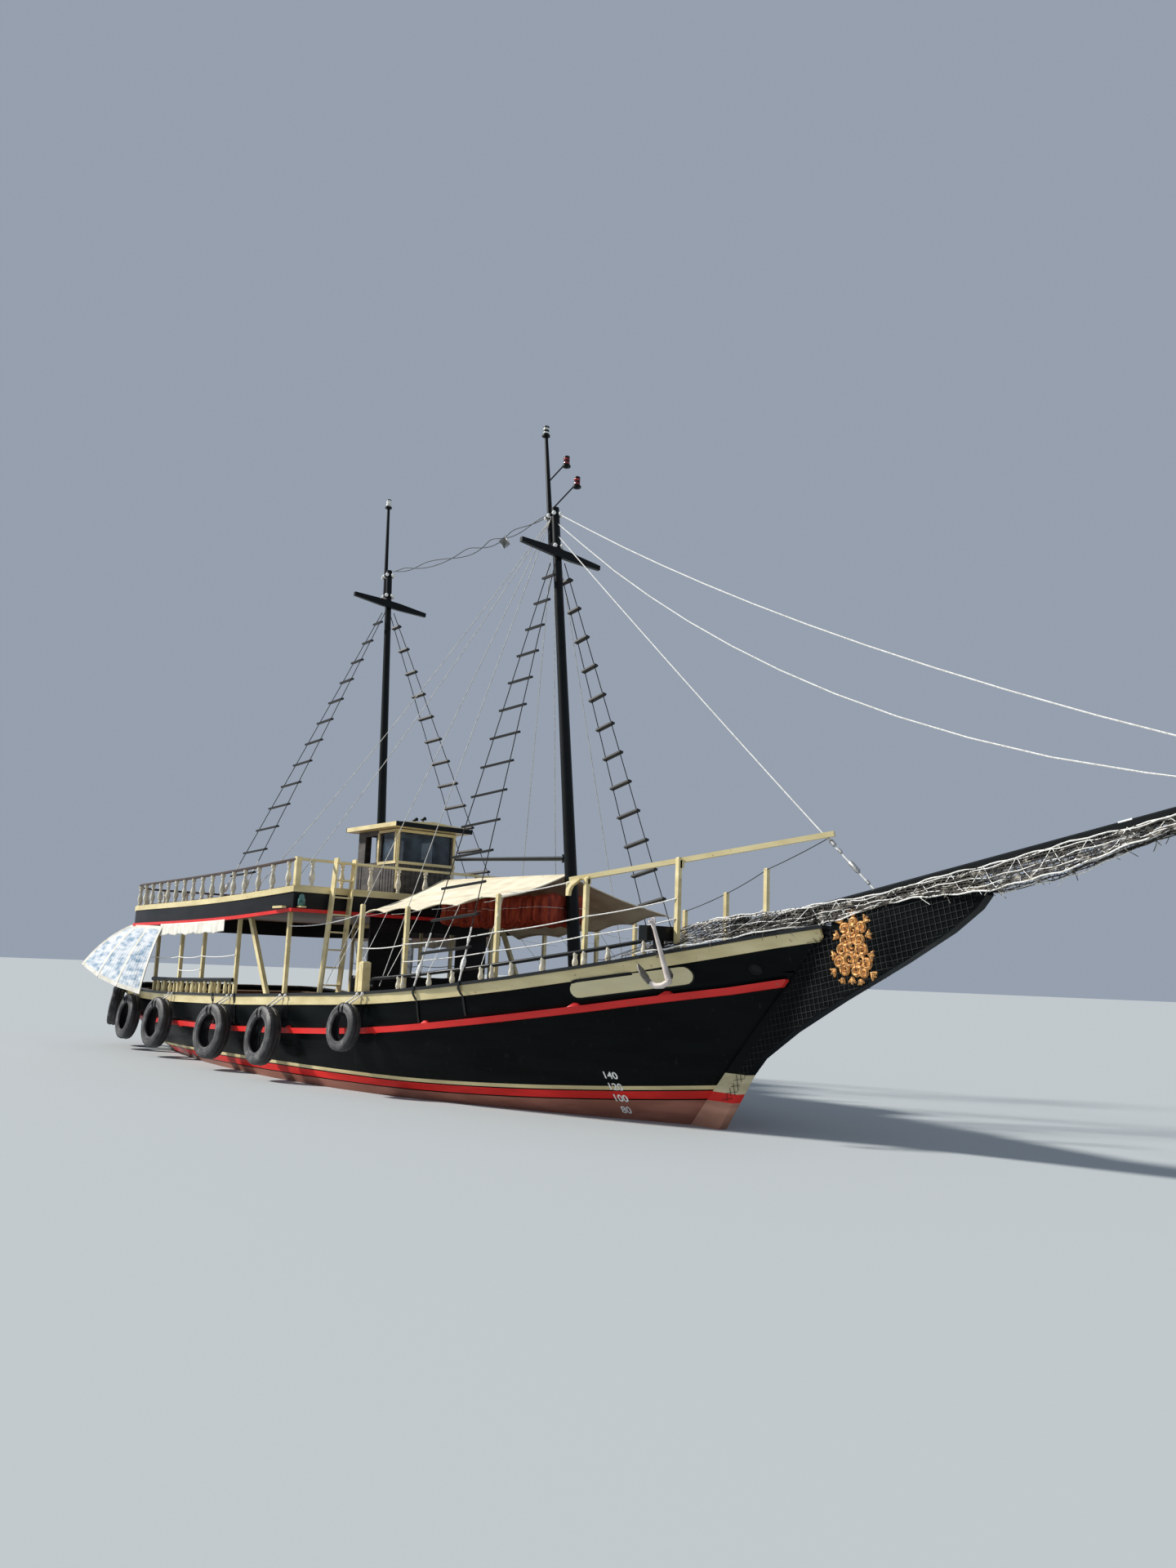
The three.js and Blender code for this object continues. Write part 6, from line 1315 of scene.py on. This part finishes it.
for sign, side in SIDES:
    tyres, ropes, loops, knots = Stock(), Stock(), Stock(), Stock()
    points = points_of("tyre_fenders_" + side)
    for x, z, radius in TYRES:
        near = points[(abs(points[:, 0] - x) < radius * 1.02) & (points[:, 2] < z + radius * 0.4)]
        ends = [near[near[:, 0] < near[:, 0].min() + 0.03], near[near[:, 0] > near[:, 0].max() - 0.03]]
        aft, fore = (Vector((p[:, 0].mean(), (p[:, 1].min() + p[:, 1].max()) / 2, z)) for p in ends)
        ahead = (fore - aft).normalized()
        level = Vector((-ahead.y, ahead.x, 0)) * sign
        rise = upward(math.cos(TYRE_LEAN)) - level * math.sin(TYRE_LEAN)
        outward = level * math.cos(TYRE_LEAN) + upward(math.sin(TYRE_LEAN))
        hub = (aft + fore) / 2 + level * radius * math.sin(TYRE_LEAN) * 0.5
        wide, wall = radius * TYRE_WIDE, radius * (1 - TYRE_BEAD)
        rings = []
        for k in range(TYRE_TURNS):
            angle = 2 * math.pi * k / TYRE_TURNS
            spoke = ahead * math.cos(angle) + rise * math.sin(angle)
            lug = LUG_TO * (1 if k % 2 else -0.5)
            rings.append([hub + outward * across * wide
                          + spoke * (radius - wall + wall * up - LUG_TO + (lug if up > LUG_FROM else 0))
                          for across, up in TYRE_SECTION])
        tyres.skin(rings, closed=True)
        for lean in LANYARD_LEANS:
            tie = hub + ahead * lean * radius + rise * radius * (0.96 - abs(lean) * 0.1)
            head_x = tie.x + LANYARD_AHEAD
            line = slack(tie, (head_x, sign * (cap_half(head_x) + 0.02), cap_top(head_x) - 0.03), 0.015, 8)
            for p in line:
                p.y = sign * max(abs(p.y), cap_half(p.x) + 0.02)
            ropes.rope(line, LANYARD_R)
            knots.turned(line[-2], line[-1], ((0, 0.018), (0.3, 0.036), (0.7, 0.036), (1, 0.018)), 8)
            middle = hub + ahead * lean * radius * 0.7 + rise * radius * 0.75
            loops.rope(hoop(middle, rise * wall * 0.62, outward * wide * 0.56, 14), LANYARD_R, closed=True)
    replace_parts(tyres.made("worn_tyres_" + side, tyre_rubber), "tyre_fenders_" + side)
    ropes.made("tyre_lanyards_" + side, rope_white)
    loops.made("tyre_lashings_" + side, tarred)
    knots.made("tyre_lanyard_knots_" + side, rope_white)

# Anchor
# A stocked fisherman's anchor, its shank and crown painted pale, its arms and palms bare grey iron. It hangs
# under the cathead against the bow.
ANCHOR_HEAD, ANCHOR_CROWN = Vector((9.6, -1.72, 3.59)), Vector((9.93, -1.6, 2.57))
ANCHOR_AFT_ARM = ((9.93, -1.6, 2.57), (9.82, -1.65, 2.5), (9.7, -1.7, 2.49), (9.6, -1.735, 2.54),
                  (9.5, -1.77, 2.64), (9.42, -1.79, 2.74), (9.35, -1.8, 2.83))
ANCHOR_INNER_ARM = ((9.93, -1.6, 2.57), (9.89, -1.56, 2.58), (9.84, -1.53, 2.63), (9.79, -1.5, 2.72),
                    (9.74, -1.48, 2.8))
# Each palm as foot and head on its arm, and its breadth
ANCHOR_PALMS = ((Vector((9.6, -1.76, 2.53)), Vector((9.35, -1.82, 2.86)), 0.22),
                (Vector((9.86, -1.51, 2.6)), Vector((9.735, -1.475, 2.83)), 0.17))
palm_iron = mottled("palm_iron", 0.6, "galvanised",
                    [(0.35, (0.07, 0.065, 0.06)), (0.65, (0.24, 0.22, 0.2))], 9, detail=8, metallic=0.3)
palm_iron.bumped(palm_iron.patches(30, detail=8), 0.3, 0.006)
anchor_paint = enamel("anchor_paint", (0.5, 0.42, 0.37), (0.78, 0.7, 0.64), 0.5, "galvanised", 6,
                      chips=(0.22, 0.12, 0.08))
RING_R, STOCK_AT, STOCK_HALF, SHANK_FOOT_R, ARM_R = 0.05, Vector((9.59, -1.725, 3.6)), 0.075, 0.056, 0.048
shank, arms = Stock(), Stock()
shank.turned(ANCHOR_HEAD, ANCHOR_CROWN,
             ((0, 0.03), (0.06, 0.042), (0.1, 0.032), (0.9, 0.052), (1, 0.056)), 12)
shank.rope(hoop(ANCHOR_HEAD + Vector((0, 0.012, 0.03)), Vector((RING_R, 0, 0)), upward(RING_R), 16), 0.012,
           closed=True)
half = Vector((0, STOCK_HALF, 0))
shank.turned(STOCK_AT - half, STOCK_AT + half, ((0, 0.024), (0.15, 0.018), (0.85, 0.018), (1, 0.024)))
shank.turned(ANCHOR_CROWN - Vector((0.02, 0, 0.05)), ANCHOR_CROWN + Vector((0.015, 0, 0.06)),
             ((0, 0.03), (0.3, 0.056), (0.8, 0.056), (1, 0.04)), 12)
shank.swept(ANCHOR_AFT_ARM[:4], lambda share: circle(SHANK_FOOT_R - 0.008 * share, 10))
for arm in (ANCHOR_AFT_ARM[3:], ANCHOR_INNER_ARM):
    arms.swept(arm, lambda share: circle(ARM_R - 0.03 * share, 10))
for foot, head, broad in ANCHOR_PALMS:
    out = (head - foot).cross(upward(1)).normalized() * broad / 2
    thick = (head - foot).cross(out).normalized() * 0.012
    rings = []
    for share, width in ((0, 0.3), (0.15, 0.75), (0.4, 1), (0.75, 0.7), (1, 0.1)):
        p = foot.lerp(head, share)
        rings.append([p - out * width + thick, p + out * width + thick, p + out * width - thick,
                      p - out * width - thick])
    arms.skin(rings)
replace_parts(shank.made("anchor_shank", anchor_paint), "anchor")
arms.made("anchor_arms", palm_iron)

# Engine and propeller
# The engine block on its bearers and the cast propeller on its shaft stand in bare grey metal.
dressed(["engine", "propeller"], steel, 40)
